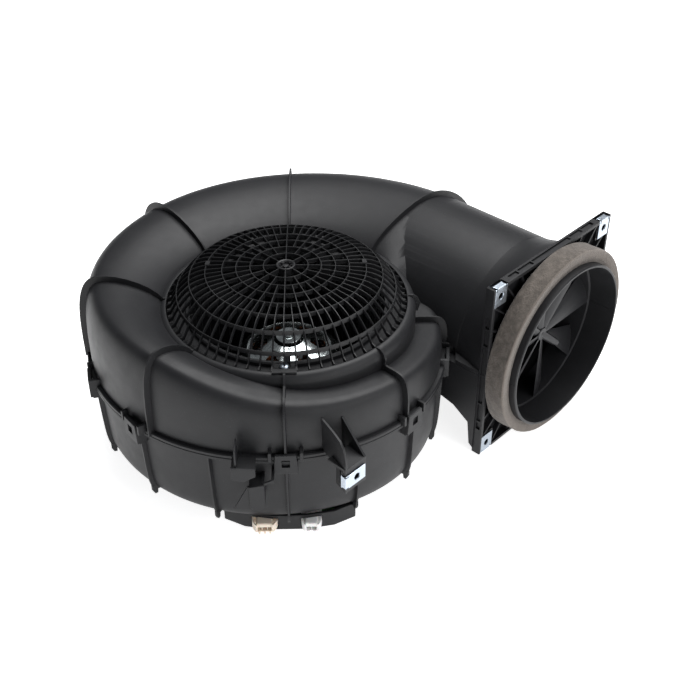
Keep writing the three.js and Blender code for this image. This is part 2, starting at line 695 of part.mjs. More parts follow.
// ---------------------------------------------------------------- motor
const BELL_TOP = 100;
const BELL_FOOT = 26;
const rotorBell = () => {
  const shell = turned(
    [
      [4 + GAP, 92],
      [11, 92],
      [11, BELL_TOP - 2],
      [29, BELL_TOP - 2],
      [BELL_RADIUS - 2, 86],
      [BELL_RADIUS - 2, BELL_FOOT],
      [BELL_RADIUS + 8, BELL_FOOT],
      [BELL_RADIUS + 8, BELL_FOOT + 2],
      [BELL_RADIUS, BELL_FOOT + 2],
      [BELL_RADIUS, 87],
      [31, BELL_TOP],
      [12, BELL_TOP],
      [11, BELL_TOP + 3],
      [4 + GAP, BELL_TOP + 3],
    ],
    MOTOR_STEPS,
  );
  const windows = Array.from({ length: 6 }, (_, i) => {
    const hole = plate([[14, -1.5], [27, -7], [27, 7], [14, 1.5]], BELL_TOP - 6, BELL_TOP + 5);
    return placed(hole, turnZ(radians(60 * i + 30)));
  });
  return cut(shell, ...windows);
};

const TUBE_OUTER = 11;
const TUBE_BORE = 8.6;
const SLOTS = 6;
const motorBase = () => {
  const pan = turned(
    [
      [TUBE_BORE, 0],
      [44, 0],
      [44, 10],
      [63, 10],
      [63, 12],
      [42, 12],
      [42, 2],
      [TUBE_OUTER, 2],
      [TUBE_OUTER, 80],
      [TUBE_BORE, 80],
    ],
    MOTOR_STEPS,
  );
  const holes = MOTOR_SCREWS.map((angle) =>
    placed(rod(3.4, 5, 15, 12), turnZ(radians(angle)), move(MOTOR_SCREW_RADIUS, 0, 0)),
  );
  const leadExit = box([-5, 5], [-50, -30], [2.5, 9.5]);
  return cut(pan, ...holes, leadExit);
};

// The plug that closes the bearing tube, flush with the underside of the pan.
const bearingCap = () => rod(TUBE_BORE - GAP, 0, 2.5);

const slotTools = (half, z0, z1) =>
  Array.from({ length: SLOTS }, (_, i) =>
    placed(box([17, 33], [-half, half], [z0, z1]), turnZ(radians((360 / SLOTS) * i))),
  );

const statorCore = () => {
  const core = tube(TUBE_OUTER + GAP, 36, 40, 70, MOTOR_STEPS);
  return cut(core, ...slotTools(3.5, 39, 71));
};

const statorWinding = () => {
  const lowerEnd = turned([[16, 31], [32, 31], [34, 34], [34, 39.7], [15, 39.7]], MOTOR_STEPS);
  const upperEnd = turned([[15, 70.3], [34, 70.3], [34, 75], [31, 78], [16, 78]], MOTOR_STEPS);
  const slotRoom = tube(17 + GAP, 33 - GAP, 30, 80, MOTOR_STEPS);
  const bars = slotTools(3.5 - GAP, 39.5, 70.5).map((bar) => keep(bar, slotRoom));
  return join(lowerEnd, upperEnd, ...bars);
};

const motorShaft = () =>
  turned([[0, 12], [3.4, 12], [4, 13], [4, BELL_TOP + 4], [3.2, BELL_TOP + 5], [0, BELL_TOP + 5]]);

const bearing = (z) => tube(4 + GAP, TUBE_BORE - GAP, z, z + 7);

const impeller = () => {
  const disc = tube(BELL_RADIUS + GAP + 0.2, IMPELLER_RADIUS, BELL_FOOT + 2 + GAP, BELL_FOOT + 5, COLUMNS);
  const ring = tube(IMPELLER_RADIUS - 6, IMPELLER_RADIUS, IMPELLER_TOP - 5, IMPELLER_TOP, COLUMNS);
  const blades = Array.from({ length: BLADES }, (_, i) => {
    const arc = [[78, 0], [87, 4.2], [95, 3.2]];
    const outline = [...arc, ...arc.map(([r, y]) => [r + 0.3, y - 1.5]).reverse()];
    const blade = plate(outline, BELL_FOOT + 4, IMPELLER_TOP - 1);
    return placed(blade, turnZ((2 * Math.PI * i) / BLADES));
  });
  return join(disc, ring, ...blades);
};

const GROMMET_Z = [12.3, FLOOR_Z - GAP];
const grommet = (angle) =>
  placed(tube(2.5, 7, ...GROMMET_Z, 14), turnZ(radians(angle)), move(MOTOR_SCREW_RADIUS, 0, 0));

const motorScrew = (angle) =>
  placed(screw(0, 0, 9.7, 21.5, 1.9, 5), turnZ(radians(angle)), move(MOTOR_SCREW_RADIUS, 0, 0));

// ---------------------------------------------------------------- terminal box
const COVER_HALF = 53;
const COVER_BACK = -72;
const COVER_SIDE = -110.5;
const COVER_FRONT = -123.5;
const COVER_TOP = FLOOR_Z - GAP;
const COVER_OUTLINE = [
  [-COVER_HALF, COVER_BACK],
  [COVER_HALF, COVER_BACK],
  [COVER_HALF, COVER_SIDE],
  [36, -119.5],
  [14, COVER_FRONT],
  [-14, COVER_FRONT],
  [-36, -119.5],
  [-COVER_HALF, COVER_SIDE],
];
const SOCKETS = [
  { name: "beige", x: -19.7, half: 10.4, z: [2.5, 12.4], contacts: 3, finish: BEIGE_PLASTIC },
  { name: "white", x: 17.5, half: 8.2, z: [2.5, 12.2], contacts: 2, finish: WHITE_PLASTIC },
];
const SOCKET_FRONT = -132;
const SOCKET_BACK = -112;

const terminalCover = () => {
  const inner = COVER_OUTLINE.map(([x, y]) => [x * 0.955, (y + 95) * 0.925 - 95]);
  const tray = cut(plate(COVER_OUTLINE, 0, COVER_TOP), plate(inner, 2, COVER_TOP + 5));
  const mouths = SOCKETS.map(({ x, half, z }) =>
    box([x - half - GAP, x + half + GAP], [-135, SOCKET_BACK], [z[0] - GAP, COVER_TOP + 5]),
  );
  const posts = COVER_SCREWS.map((x) => placed(rod(5, 1, FLOOR_Z - GAP, 14), move(x, COVER_SCREW_Y, 0)));
  const bores = COVER_SCREWS.map((x) => placed(rod(2.2, -1, 30, 14), move(x, COVER_SCREW_Y, 0)));
  const sinks = COVER_SCREWS.map((x) => placed(rod(4.4, -1, 4, 14), move(x, COVER_SCREW_Y, 0)));
  const leadNotch = box([-2.5, 2.5], [COVER_BACK - 4, COVER_BACK + 2], [6, COVER_TOP + 5]);
  return cut(join(cut(tray, ...mouths, leadNotch), ...posts), ...bores, ...sinks);
};

const socketShell = ({ x, half, z }) => {
  const block = box([x - half, x + half], [SOCKET_FRONT, SOCKET_BACK], z);
  const across = [x - half + 1.4, x + half - 1.4];
  const mouth = box(across, [SOCKET_FRONT - 1, SOCKET_BACK - 4], [z[0] + 1.4, z[1] - 1.4]);
  const keyway = box([x - 3, x + 3], [SOCKET_FRONT - 1, SOCKET_FRONT + 7], [z[1] - 2, z[1] + 1]);
  const arms = [-1, 1].map((side) => {
    const arm = box([0, 1.2], [SOCKET_FRONT + 1, SOCKET_FRONT + 7], [z[0] - 1.2, z[0] + 1]);
    return placed(arm, move(x + side * (half - 2) - 0.6, 0, 0));
  });
  return cut(join(block, ...arms), mouth, keyway);
};

const contactX = ({ x, contacts }, i) => x + 5 * (i - (contacts - 1) / 2);
const contactPin = (socket, i) => {
  const at = contactX(socket, i);
  return box([at - 0.8, at + 0.8], [SOCKET_FRONT + 6, SOCKET_BACK - 4 - GAP], [6.6, 7.4]);
};

const BOARD_Z = 4;
const controlBoard = () => box([-36, 36], [-110.5, -76], [BOARD_Z, BOARD_Z + 1.6]);
const capacitor = () => {
  const can = new THREE.CapsuleGeometry(3, 14, 4, 12).rotateZ(Math.PI / 2);
  return can.translate(18, -90, BOARD_Z + 1.6 + GAP + 3);
};

// The lead from the winding, out under the rotor and through the floor to the board.
const motorLead = () => {
  const route = new THREE.CatmullRomCurve3([
    new THREE.Vector3(0, -24, 29),
    new THREE.Vector3(0, -27, 24),
    new THREE.Vector3(0, -29, 14),
    new THREE.Vector3(0, -34, 7),
    new THREE.Vector3(0, -48, 6),
    new THREE.Vector3(0, -66, 8),
    new THREE.Vector3(0, -76, 9),
    new THREE.Vector3(0, -86, 8),
  ]);
  const section = new THREE.Shape().absarc(0, 0, 1.8, 0, 2 * Math.PI);
  const options = { steps: 15, curveSegments: 4, bevelEnabled: false, extrudePath: route };
  return new THREE.ExtrudeGeometry(section, options);
};

// ---------------------------------------------------------------- the assembly
addPiece("upper_shell", upperShell(), BLACK_PLASTIC);
addPiece("lower_shell", lowerShell(), BLACK_PLASTIC);
addPiece("inlet_grille", inletGrille(), BLACK_PLASTIC);
addPiece("grille_screw", screw(0, -SCREW_RADIUS, TAB_TOP + GAP, DECK_Z - 5), ZINC);
addPiece("outlet_gasket", outletGasket(), FOAM);
addPiece("guide_vanes", guideVanes(), BLACK_PLASTIC);
CORNERS.forEach((corner) => addPiece(`flange_nut_${corner.name}`, flangeNut(corner), ZINC));
addPiece("bracket_nut", bracketNut(), ZINC);

addPiece("rotor_bell", rotorBell(), STEEL);
addPiece("rotor_ring", tube(37, BELL_RADIUS - 2.6 - GAP, 36, 74, MOTOR_STEPS), LAMINATION);
addPiece("motor_shaft", motorShaft(), STEEL);
addPiece("shaft_clip", tube(4 + GAP, 7, 13.4, 14.4), STEEL);
addPiece("impeller", impeller(), BLACK_PLASTIC);
addPiece("motor_base", motorBase(), STEEL);
addPiece("bearing_cap", bearingCap(), STEEL);
addPiece("stator_core", statorCore(), LAMINATION);
addPiece("stator_winding", statorWinding(), COPPER);
addPiece("upper_bearing", bearing(72), STEEL);
addPiece("lower_bearing", bearing(15), STEEL);
MOTOR_SCREWS.forEach((angle, i) => {
  addPiece(`motor_grommet_${i + 1}`, grommet(angle), RUBBER);
  addPiece(`motor_screw_${i + 1}`, motorScrew(angle), ZINC);
});

addPiece("terminal_cover", terminalCover(), BLACK_PLASTIC);
COVER_SCREWS.forEach((x, i) => {
  addPiece(`cover_screw_${i + 1}`, screw(x, COVER_SCREW_Y, 3.7, 24), ZINC);
});
addPiece("control_board", controlBoard(), BOARD);
addPiece("board_capacitor", capacitor(), STEEL);
SOCKETS.forEach((socket) => {
  addPiece(`${socket.name}_socket`, socketShell(socket), socket.finish);
  for (let i = 0; i < socket.contacts; i++) {
    addPiece(`${socket.name}_contact_${i + 1}`, contactPin(socket, i), BRASS);
  }
});
addPiece("motor_lead", motorLead(), RUBBER);

export default blower;
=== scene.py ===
import json
import math
from functools import reduce

import bpy
import numpy as np
from bpy.props import FloatProperty, FloatVectorProperty, IntProperty, PointerProperty
from bpy.types import Operator, Panel, PropertyGroup
from mathutils import Euler, Matrix, Vector

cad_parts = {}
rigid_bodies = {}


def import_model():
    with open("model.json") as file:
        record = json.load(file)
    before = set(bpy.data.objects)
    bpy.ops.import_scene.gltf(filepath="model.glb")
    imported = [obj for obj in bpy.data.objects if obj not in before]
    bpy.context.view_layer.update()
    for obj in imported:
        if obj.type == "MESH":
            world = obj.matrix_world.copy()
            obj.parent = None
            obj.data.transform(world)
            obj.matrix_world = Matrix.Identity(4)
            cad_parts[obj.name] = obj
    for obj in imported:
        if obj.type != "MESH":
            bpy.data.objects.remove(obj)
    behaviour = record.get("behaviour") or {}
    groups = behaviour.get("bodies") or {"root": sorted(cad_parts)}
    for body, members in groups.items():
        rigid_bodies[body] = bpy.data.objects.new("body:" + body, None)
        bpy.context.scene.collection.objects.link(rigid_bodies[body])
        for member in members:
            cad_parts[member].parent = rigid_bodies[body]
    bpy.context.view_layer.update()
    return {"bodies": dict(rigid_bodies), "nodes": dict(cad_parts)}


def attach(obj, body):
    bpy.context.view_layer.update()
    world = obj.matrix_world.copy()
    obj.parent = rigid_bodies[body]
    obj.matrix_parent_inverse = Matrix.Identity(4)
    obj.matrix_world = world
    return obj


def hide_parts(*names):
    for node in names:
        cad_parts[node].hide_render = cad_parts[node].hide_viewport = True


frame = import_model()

bl_info = {
    "name": "Centrifugal blower",
    "version": (1, 0, 0),
    "blender": (4, 5, 0),
    "location": "View3D > Sidebar > Blower",
    "description": "Makes the pieces of a centrifugal blower and their finishes",
    "category": "Object",
}

MM = 0.001  # shapes are worked out in millimetres and put into the meshes in metres

# Heights are over the surface that the blower stands on, radii are from the fan axis.
AXIS_Z = 85.3  # the outlet's axis, and the plane that parts the shells
FLOOR_Z = 16.0
DECK_Z = 133.0
COLLAR_Z = 141.0
DECK_RADIUS = 98.0
COLLAR_RADIUS = 105.0
SCREW_Y = -91.5  # the grille's screw, in front of the fan axis
SCREW_SEAT = 140.4
CLIP_ANGLES = (-6, -42, -90, -142, -168, 158, 108)

# Along the outlet's axis each place is a distance from the fan axis.
DUCT_OFFSET = 168.3  # from the fan axis to the outlet's axis
DUCT_RADIUS = 76.0
SPIGOT_RADIUS = 74.5
SPIGOT_BORE = 72.0
SPIGOT_START = 107.0
SPIGOT_END = 166.8
FLANGE_BACK = 134.4
FLANGE_FRONT = 142.8
PAD_FRONT = 141.4  # the face that a spring nut clips over
FLANGE_HALF = (82.0, 85.3)  # across and up
FIXING_HALF = (72.4, 76.3)
SIDE_FIXING = (-68.0, 82.0)  # across, and height
VANE_FRONT = 140.8

GAP = 0.3  # between pieces that touch
FIXING_BORE = 3.2
PART = 0.15  # half the gap between the shells
MOTOR_ANGLES = (90, 210, 330)
MOTOR_SCREW_CIRCLE = 55
COVER_SCREWS = ((-44, -82), (44, -82))
SOCKETS = (("beige", -19.7, 10.4, 12.4, 3), ("white", 17.5, 8.2, 12.2, 2))  # x, half width, top, ways

# Round the spiral every 45 degrees of sweep: wall radius, crown height, crown radius, squareness.
STATIONS = np.array([
    [128, 115, 112, 4.5], [128, 124, 112, 4.5], [130.5, 131, 112, 4.2], [144, 154, 128, 3.4],
    [166, 159, 143, 3.4], [187, 161, 150, 3.0], [213, 161.3, 160, 2.4], [244.3, 161.3, 168.3, 2.0],
])


# ---------------------------------------------------------------- sizes and colours
def length(name, text, default):
    return FloatProperty(name=name, description=text, default=default * MM, min=0.0, unit="LENGTH")


def colour(name, text, default):
    return FloatVectorProperty(name=name, description=text, default=default, size=3, min=0.0, max=1.0,
                               subtype="COLOR")


class BlowerHousingSizes(PropertyGroup):
    wall: length("Wall", "Thickness of the moulded wall", 2.5)
    fin_height: length("Fin height", "How far the fins stand over the crown", 5.0)
    rib_thickness: length("Rib thickness", "Thickness of the fins and ribs", 2.2)
    columns: IntProperty(name="Columns", description="Steps round the spiral", default=168, min=48)


class BlowerGrilleSizes(PropertyGroup):
    bar: length("Bar", "Width of a grille bar at its top", 1.0)
    bar_depth: length("Bar depth", "Depth of a grille bar", 3.6)
    top: length("Top", "Height of the dome over the floor", 172.4)


class BlowerOutletSizes(PropertyGroup):
    foam_radius: length("Foam radius", "Outer radius of the foam ring", 85.0)
    vane_pitch: FloatProperty(name="Vane pitch", description="Lean of each vane from the outlet's plane",
                              default=math.radians(22), subtype="ANGLE")
    vanes: IntProperty(name="Vanes", description="Vanes round the hub", default=8, min=3)


class BlowerMotorSizes(PropertyGroup):
    bell_radius: length("Bell radius", "Radius of the rotor bell", 46.0)
    wheel_radius: length("Wheel radius", "Radius of the fan wheel", 96.0)
    blades: IntProperty(name="Blades", description="Blades of the fan wheel", default=40, min=12)


class BlowerColours(PropertyGroup):
    plastic: colour("Plastic", "Moulded black plastic", (0.0125, 0.0127, 0.0140))
    foam: colour("Foam", "Foam of the sealing ring", (0.125, 0.108, 0.094))
    zinc: colour("Zinc", "Bright zinc on steel", (0.50, 0.56, 0.63))
    steel: colour("Steel", "Polished steel", (0.74, 0.80, 0.80))
    copper: colour("Copper", "Enamelled winding wire", (0.45, 0.14, 0.045))
    beige: colour("Beige", "Beige connector plastic", (0.90, 0.79, 0.66))
    white: colour("White", "White connector plastic", (0.95, 0.95, 0.94))
    brass: colour("Brass", "Connector contacts", (0.62, 0.42, 0.14))
    board: colour("Board", "Circuit board", (0.02, 0.13, 0.05))
    rubber: colour("Rubber", "Rubber grommets", (0.011, 0.011, 0.012))


# ---------------------------------------------------------------- placing
def shift(x, y, z):
    m = np.eye(4)
    m[:3, 3] = x, y, z
    return m


def turn(axis, degrees):
    return np.array(Matrix.Rotation(math.radians(degrees), 4, axis))


OUTLET = turn("Z", -45)  # local X runs out of the outlet, through the fan axis
DUCT = OUTLET @ shift(0, DUCT_OFFSET, AXIS_Z)  # local X is the outlet's axis
LAY = turn("Y", 90)  # lays a turned piece's own Z along local X


def placed(solid, *matrices):
    """Every point times the product of the matrices."""
    m = reduce(np.matmul, matrices)
    points, faces = solid
    return points @ m[:3, :3].T + m[:3, 3], faces


# ---------------------------------------------------------------- solids: (points, faces)
def outward(points, faces):
    """Turns the faces round if the sum of their cones' signed volumes is negative."""
    fans = np.array([(f[0], f[i], f[i + 1]) for f in faces for i in range(1, len(f) - 1)])
    a, b, c = (points[fans[:, k]] for k in range(3))
    if np.einsum("ij,ij->", a - points[0], np.cross(b - points[0], c - points[0])) < 0:
        faces = [f[::-1] for f in faces]
    return points, faces


def lofted(rings, closed=False):
    """A stack of rings, each joined to the next by quads; the end rings are filled, or joined."""
    rings = np.asarray(rings, float)
    rows, n = rings.shape[:2]
    low = np.arange(rows if closed else rows - 1)[:, None] * n
    high = (low + n) % (rows * n)
    j = np.arange(n)[None]
    k = (j + 1) % n
    faces = np.stack([low + j, low + k, high + k, high + j], -1).reshape(-1, 4).tolist()
    if not closed:
        faces += [list(range(n))[::-1], list(range((rows - 1) * n, rows * n))]
    return outward(rings.reshape(-1, 3), faces)


def turned(profile, steps=48):
    """Each (radius, height) of the profile becomes a circle about Z; off the axis the loop closes."""
    profile = np.array(profile, float)
    solid = profile[0, 0] < 1e-6 or profile[-1, 0] < 1e-6
    if solid:
        profile = profile[profile[:, 0] > 1e-6]
    angle = np.linspace(0, 2 * np.pi, steps, endpoint=False)
    r, z = profile[:, :1], np.repeat(profile[:, 1:], steps, 1)
    return lofted(np.stack([r * np.cos(angle), r * np.sin(angle), z], -1), closed=not solid)


def rod(radius, z0, z1, steps=32):
    return turned([(0, z0), (radius, z0), (radius, z1), (0, z1)], steps)


def plate(outline, z0, z1):
    """An (x, y) outline at two heights, joined."""
    flat = np.array(outline, float)
    return lofted([np.c_[flat, np.full(len(flat), z)] for z in (z0, z1)])


def upright(outline, y0, y1):
    """An (x, z) outline at two depths, joined."""
    flat = np.array(outline, float)
    return lofted([np.c_[flat[:, 0], np.full(len(flat), y), flat[:, 1]] for y in (y0, y1)])


def box(x, y, z):
    return plate([(x[0], y[0]), (x[1], y[0]), (x[1], y[1]), (x[0], y[1])], *z)


def gathered(*solids):
    """Solids side by side in one mesh, each one's face indices moved past the points before it."""
    points, faces, start = [], [], 0
    for p, f in solids:
        points.append(p)
        faces += [[i + start for i in face] for face in f]
        start += len(p)
    return np.concatenate(points), faces


# ---------------------------------------------------------------- meshes
def mesh_of(name, solid):
    points, faces = solid
    mesh = bpy.data.meshes.new(name)
    mesh.from_pydata((points * MM).tolist(), [], faces)
    mesh.update()
    return mesh


def as_object(shape, name="tool"):
    mesh = shape if isinstance(shape, bpy.types.Mesh) else mesh_of(name, shape)
    piece = bpy.data.objects.new(name, mesh)
    bpy.context.scene.collection.objects.link(piece)
    return piece


def baked(piece):
    """The mesh that an object's modifiers give, with the object itself taken away."""
    graph = bpy.context.evaluated_depsgraph_get()
    mesh = bpy.data.meshes.new_from_object(piece.evaluated_get(graph))
    bpy.data.objects.remove(piece)
    return mesh


def worked(base, *steps):
    """The base after each (operation, solid) step joins, cuts or keeps."""
    piece = as_object(base)
    tools = [as_object(shape) for _, shape in steps]
    for (operation, _), tool in zip(steps, tools):
        step = piece.modifiers.new(operation, "BOOLEAN")
        step.operation, step.object, step.solver = operation, tool, "MANIFOLD"
    mesh = baked(piece)
    for tool in tools:
        bpy.data.objects.remove(tool)
    if not len(mesh.polygons):
        raise RuntimeError("a joined or cut piece came out empty")
    return mesh


def joined(base, *shapes):
    return worked(base, *[("UNION", s) for s in shapes])


def cut(base, *shapes):
    return worked(base, *[("DIFFERENCE", s) for s in shapes])


def softened(shape, width, segments=2, angle=40):
    """The shape with its sharp edges rounded to the width."""
    piece = as_object(shape)
    edge = piece.modifiers.new("edges", "BEVEL")
    edge.width, edge.segments = width * MM, segments
    edge.limit_method, edge.angle_limit = "ANGLE", math.radians(angle)
    return baked(piece)


def moved(mesh, matrix):
    """A mesh in metres, moved by a matrix that is written in millimetres."""
    m = np.array(matrix, float)
    m[:3, 3] *= MM
    mesh.transform(Matrix([list(r) for r in m]))
    return mesh


def frame_body(node):
    """The body that a node rides on."""
    for name, body in frame["bodies"].items():
        if frame["nodes"][node].parent is body:
            return name
    raise RuntimeError("no body holds " + node)


def finished(name, shape, node, slot, finish=None, sharp=35):
    """Shades a shape smoothly between sharp edges, and puts it on its node's body in that node's place."""
    piece = as_object(shape, name)
    mesh = piece.data
    mesh.polygons.foreach_set("use_smooth", np.ones(len(mesh.polygons), bool))
    mesh.set_sharp_from_angle(angle=math.radians(sharp))
    piece.name = mesh.name = name
    weight = piece.modifiers.new("shading", "WEIGHTED_NORMAL")
    weight.keep_sharp = True
    mesh.materials.clear()
    mesh.materials.append(look(finish or slot))
    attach(piece, frame_body(node))
    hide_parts(node)
    return piece


# ---------------------------------------------------------------- the spiral's section
def smooth(value, low, high):
    t = np.clip((value - low) / (high - low), 0, 1)
    return t * t * (3 - 2 * t)


def lerp(a, b, t):
    return a + (b - a) * t


def station(sweep):
    """Wall, crown, crown radius and squareness: a Catmull-Rom curve through the stations, and
    before the first one a smooth fall from the last back to it."""
    sweep = np.atleast_1d(np.asarray(sweep, float))
    last = len(STATIONS) - 1
    at = np.clip((sweep - 45) / 45, 0, last)
    i = np.minimum(at.astype(int), last - 1)
    t = (at - i)[:, None]
    p0, p1 = STATIONS[np.maximum(i - 1, 0)], STATIONS[i]
    p2, p3 = STATIONS[i + 1], STATIONS[np.minimum(i + 2, last)]
    v0, v1 = (p2 - p0) / 2, (p3 - p1) / 2
    curve = (2 * p1 - 2 * p2 + v0 + v1) * t**3 + (3 * p2 - 3 * p1 - 2 * v0 - v1) * t**2 + v0 * t + p1
    fall = lerp(STATIONS[last], STATIONS[0], smooth(sweep, 0, 30)[:, None])
    return np.where(sweep[:, None] >= 45, curve, fall).T


def quarter(r0, z0, r1, z1, square, steps):
    """A quarter of a squared ellipse from (r0, z0) to (r1, z1): powers of the cosine and sine."""
    t = np.linspace(0, np.pi / 2, steps + 1)
    power = (2 / np.broadcast_to(square, np.shape(r0) or np.shape(r1)))[:, None]
    across, up = np.clip(np.cos(t), 0, 1) ** power, np.clip(np.sin(t), 0, 1) ** power
    wide = [np.broadcast_to(v, power.shape[0])[:, None] for v in (r0, z0, r1, z1)]
    return np.stack([lerp(wide[2], wide[0], across), lerp(wide[1], wide[3], up)], -1)


def upper_section(sweep, grow):
    """From the parting plane over the crown and down to the deck, moved out by grow."""
    wall, crown, crown_radius, square = station(sweep)
    high, inner = crown + grow, np.minimum(DECK_Z, crown - 1) + grow
    shoulder = quarter(wall + grow, AXIS_Z, crown_radius, high, square, 18)
    rise = quarter(np.full_like(wall, DECK_RADIUS + 1), inner, crown_radius, high, 1.6, 7)
    return np.concatenate([shoulder, rise[:, ::-1][:, 1:]], 1)


def lower_section(sweep, grow):
    """From the parting plane down and under to the floor, moved out by grow."""
    sweep = np.atleast_1d(np.asarray(sweep, float))
    wall, _, crown_radius, _ = station(sweep)
    near_duct = smooth(sweep, 300, 360) + 1 - smooth(sweep, 0, 30)
    bottom = lerp(FLOOR_Z, AXIS_Z - DUCT_RADIUS, near_duct) - grow
    under = lerp(wall - 22, crown_radius, near_duct)
    side = quarter(wall + grow, AXIS_Z, under, bottom, lerp(7.0, 2.0, near_duct), 16)
    side[..., 0] -= lerp(2.5, 0, near_duct)[:, None] * (AXIS_Z - side[..., 1]) / AXIS_Z
    end = np.tile([DECK_RADIUS - 6, FLOOR_Z - grow], (len(side), 1, 1))
    return np.concatenate([side, end], 1)


def swept(section, columns, closed=False):
    """Each column's (radius, height) section turned to its own angle, 45 degrees less its sweep."""
    sweep = np.linspace(0, 360, columns, endpoint=False)
    angle = np.radians(45 - sweep)[:, None]
    s = section(sweep)
    ring = np.stack([s[..., 0] * np.cos(angle), s[..., 0] * np.sin(angle), s[..., 1]], -1)
    return lofted(ring.transpose(1, 0, 2), closed)


def spiral_body(grow, columns):
    """The whole section of the spiral, closed across the floor and under the deck."""

    def section(sweep):
        lower = lower_section(sweep, grow)[:, 1:][:, ::-1]
        core = np.tile([20.0, 110.0], (len(sweep), 1, 1))
        return np.concatenate([lower, upper_section(sweep, grow), core], 1)

    return swept(section, columns)


def spiral_lip(columns):
    """A band with rounded edges round the wall, half above and half below the parting plane."""
    half = [(3.2, PART), (3.6, 0.5), (3.6, 2.7), (2.8, 3.5), (-2, 3.5)]
    edge = np.array([(x, -z) for x, z in half[::-1]] + half)

    def section(sweep):
        out = station(sweep)[0][:, None] + edge[:, 0]
        return np.stack([out, np.broadcast_to(AXIS_Z + edge[:, 1], out.shape)], -1)

    return swept(section, columns, closed=True)


def rib_on(sweep, outer, inner, thick):
    """A thin wall between two section curves, thinner at its free edge, turned to its sweep."""
    n = len(outer)
    outline = np.concatenate([outer, inner[::-1]])
    half = np.concatenate([np.full(n, thick * 0.36), np.full(n, thick * 0.56)])
    sides = [np.c_[outline[:, 0], s * half, outline[:, 1]] for s in (-1, 1)]
    return placed(lofted(sides), turn("Z", 45 - sweep))


def upper_fins(height, thick):
    """Eight fins over the crown, each with a tooth that climbs the collar."""
    tooth = upright([(99, 130), (107, 126), (109, 134), (106.4, 139.6), (103, 142), (99, 142)],
                    -thick * 0.4, thick * 0.4)
    fins = []
    for sweep in range(0, 360, 45):
        fins.append(rib_on(sweep, upper_section(sweep, height)[0], upper_section(sweep, -1.0)[0], thick))
        fins.append(placed(tooth, turn("Z", 45 - sweep)))
    return fins


def lower_ribs(thick):
    """Upright ribs down the wall, each with a small foot under the floor."""
    ribs = []
    for sweep in 60 + 25 * np.arange(12):
        band = lower_section(sweep, 0.0)[0][:-1]
        foot = band[8, 0]
        wall = rib_on(sweep, band + (3.4, 0), band - (1, 0), thick)
        z = FLOOR_Z
        heel = upright([(foot - 1.5, z + 1), (foot - 1, z - 3), (foot + 1.5, z - 3), (foot + 3.4, z + 1),
                        (foot + 3.4, z + 6), (foot - 1, z + 6)], -thick / 2, thick / 2)
        ribs.append(joined(wall, placed(heel, turn("Z", 45 - sweep))))
    return ribs


# ---------------------------------------------------------------- deck, duct, flange
def arc(x, z, radius, start, stop, steps=5):
    """Points on a circle between two angles in degrees."""
    t = np.radians(np.linspace(start, stop, steps))
    return [(x + radius * math.cos(a), z + radius * math.sin(a)) for a in t]


def deck(columns):
    """The round deck, with its collar's rounded rim."""
    t = np.radians(np.linspace(0, 90, 11))
    shoulder = np.c_[COLLAR_RADIUS - 6.4 + 6.4 * np.cos(t), COLLAR_Z - 8 + 8 * np.sin(t)]
    return turned([(0, 60), (COLLAR_RADIUS, 60), *map(tuple, shoulder), (DECK_RADIUS + 0.1, COLLAR_Z - 0.2),
                   (DECK_RADIUS, COLLAR_Z - 0.5), (DECK_RADIUS, DECK_Z + 1), (DECK_RADIUS - 1, DECK_Z),
                   (83, DECK_Z), (83, DECK_Z + 3), (82, DECK_Z + 4), (0, DECK_Z + 4)], columns)


def along(profile, steps=144):
    return placed(turned(profile, steps), DUCT, LAY)


def duct():
    return along([(0, -6), (DUCT_RADIUS, -6), (DUCT_RADIUS, SPIGOT_START - 2), (SPIGOT_RADIUS, SPIGOT_START),
                  (SPIGOT_RADIUS, SPIGOT_END - 0.8), (SPIGOT_RADIUS - 0.8, SPIGOT_END), (0, SPIGOT_END)])


def duct_flare():
    """A hollow curve that lifts the duct into the back of the flange."""
    r = DUCT_RADIUS
    return along([(r - 4, 104), (r - 0.2, 104), (r + 0.4, 110), (r + 1.6, 116), (r + 3.4, 123),
                  (r + 5.4, 129), (r + 6.5, 135.5), (r - 4, 135.5)])


def duct_hollow():
    return along([(0, -8), (DUCT_RADIUS - 2.5, -8), (DUCT_RADIUS - 2.5, SPIGOT_START),
                  (SPIGOT_BORE, SPIGOT_START + 2), (SPIGOT_BORE, SPIGOT_END - 0.7),
                  (SPIGOT_BORE + 0.7, SPIGOT_END + 1), (0, SPIGOT_END + 1)])


CORNERS = [("upper_near", -1, 1), ("upper_far", 1, 1), ("lower_near", -1, -1), ("lower_far", 1, -1)]


def corner_place(across, up):
    """Local X out of the outlet, the origin at a fixing hole, +Z towards the near edge."""
    return DUCT @ shift(0, across * FIXING_HALF[0], up * FIXING_HALF[1]) @ turn("X", 180 if up < 0 else 0)


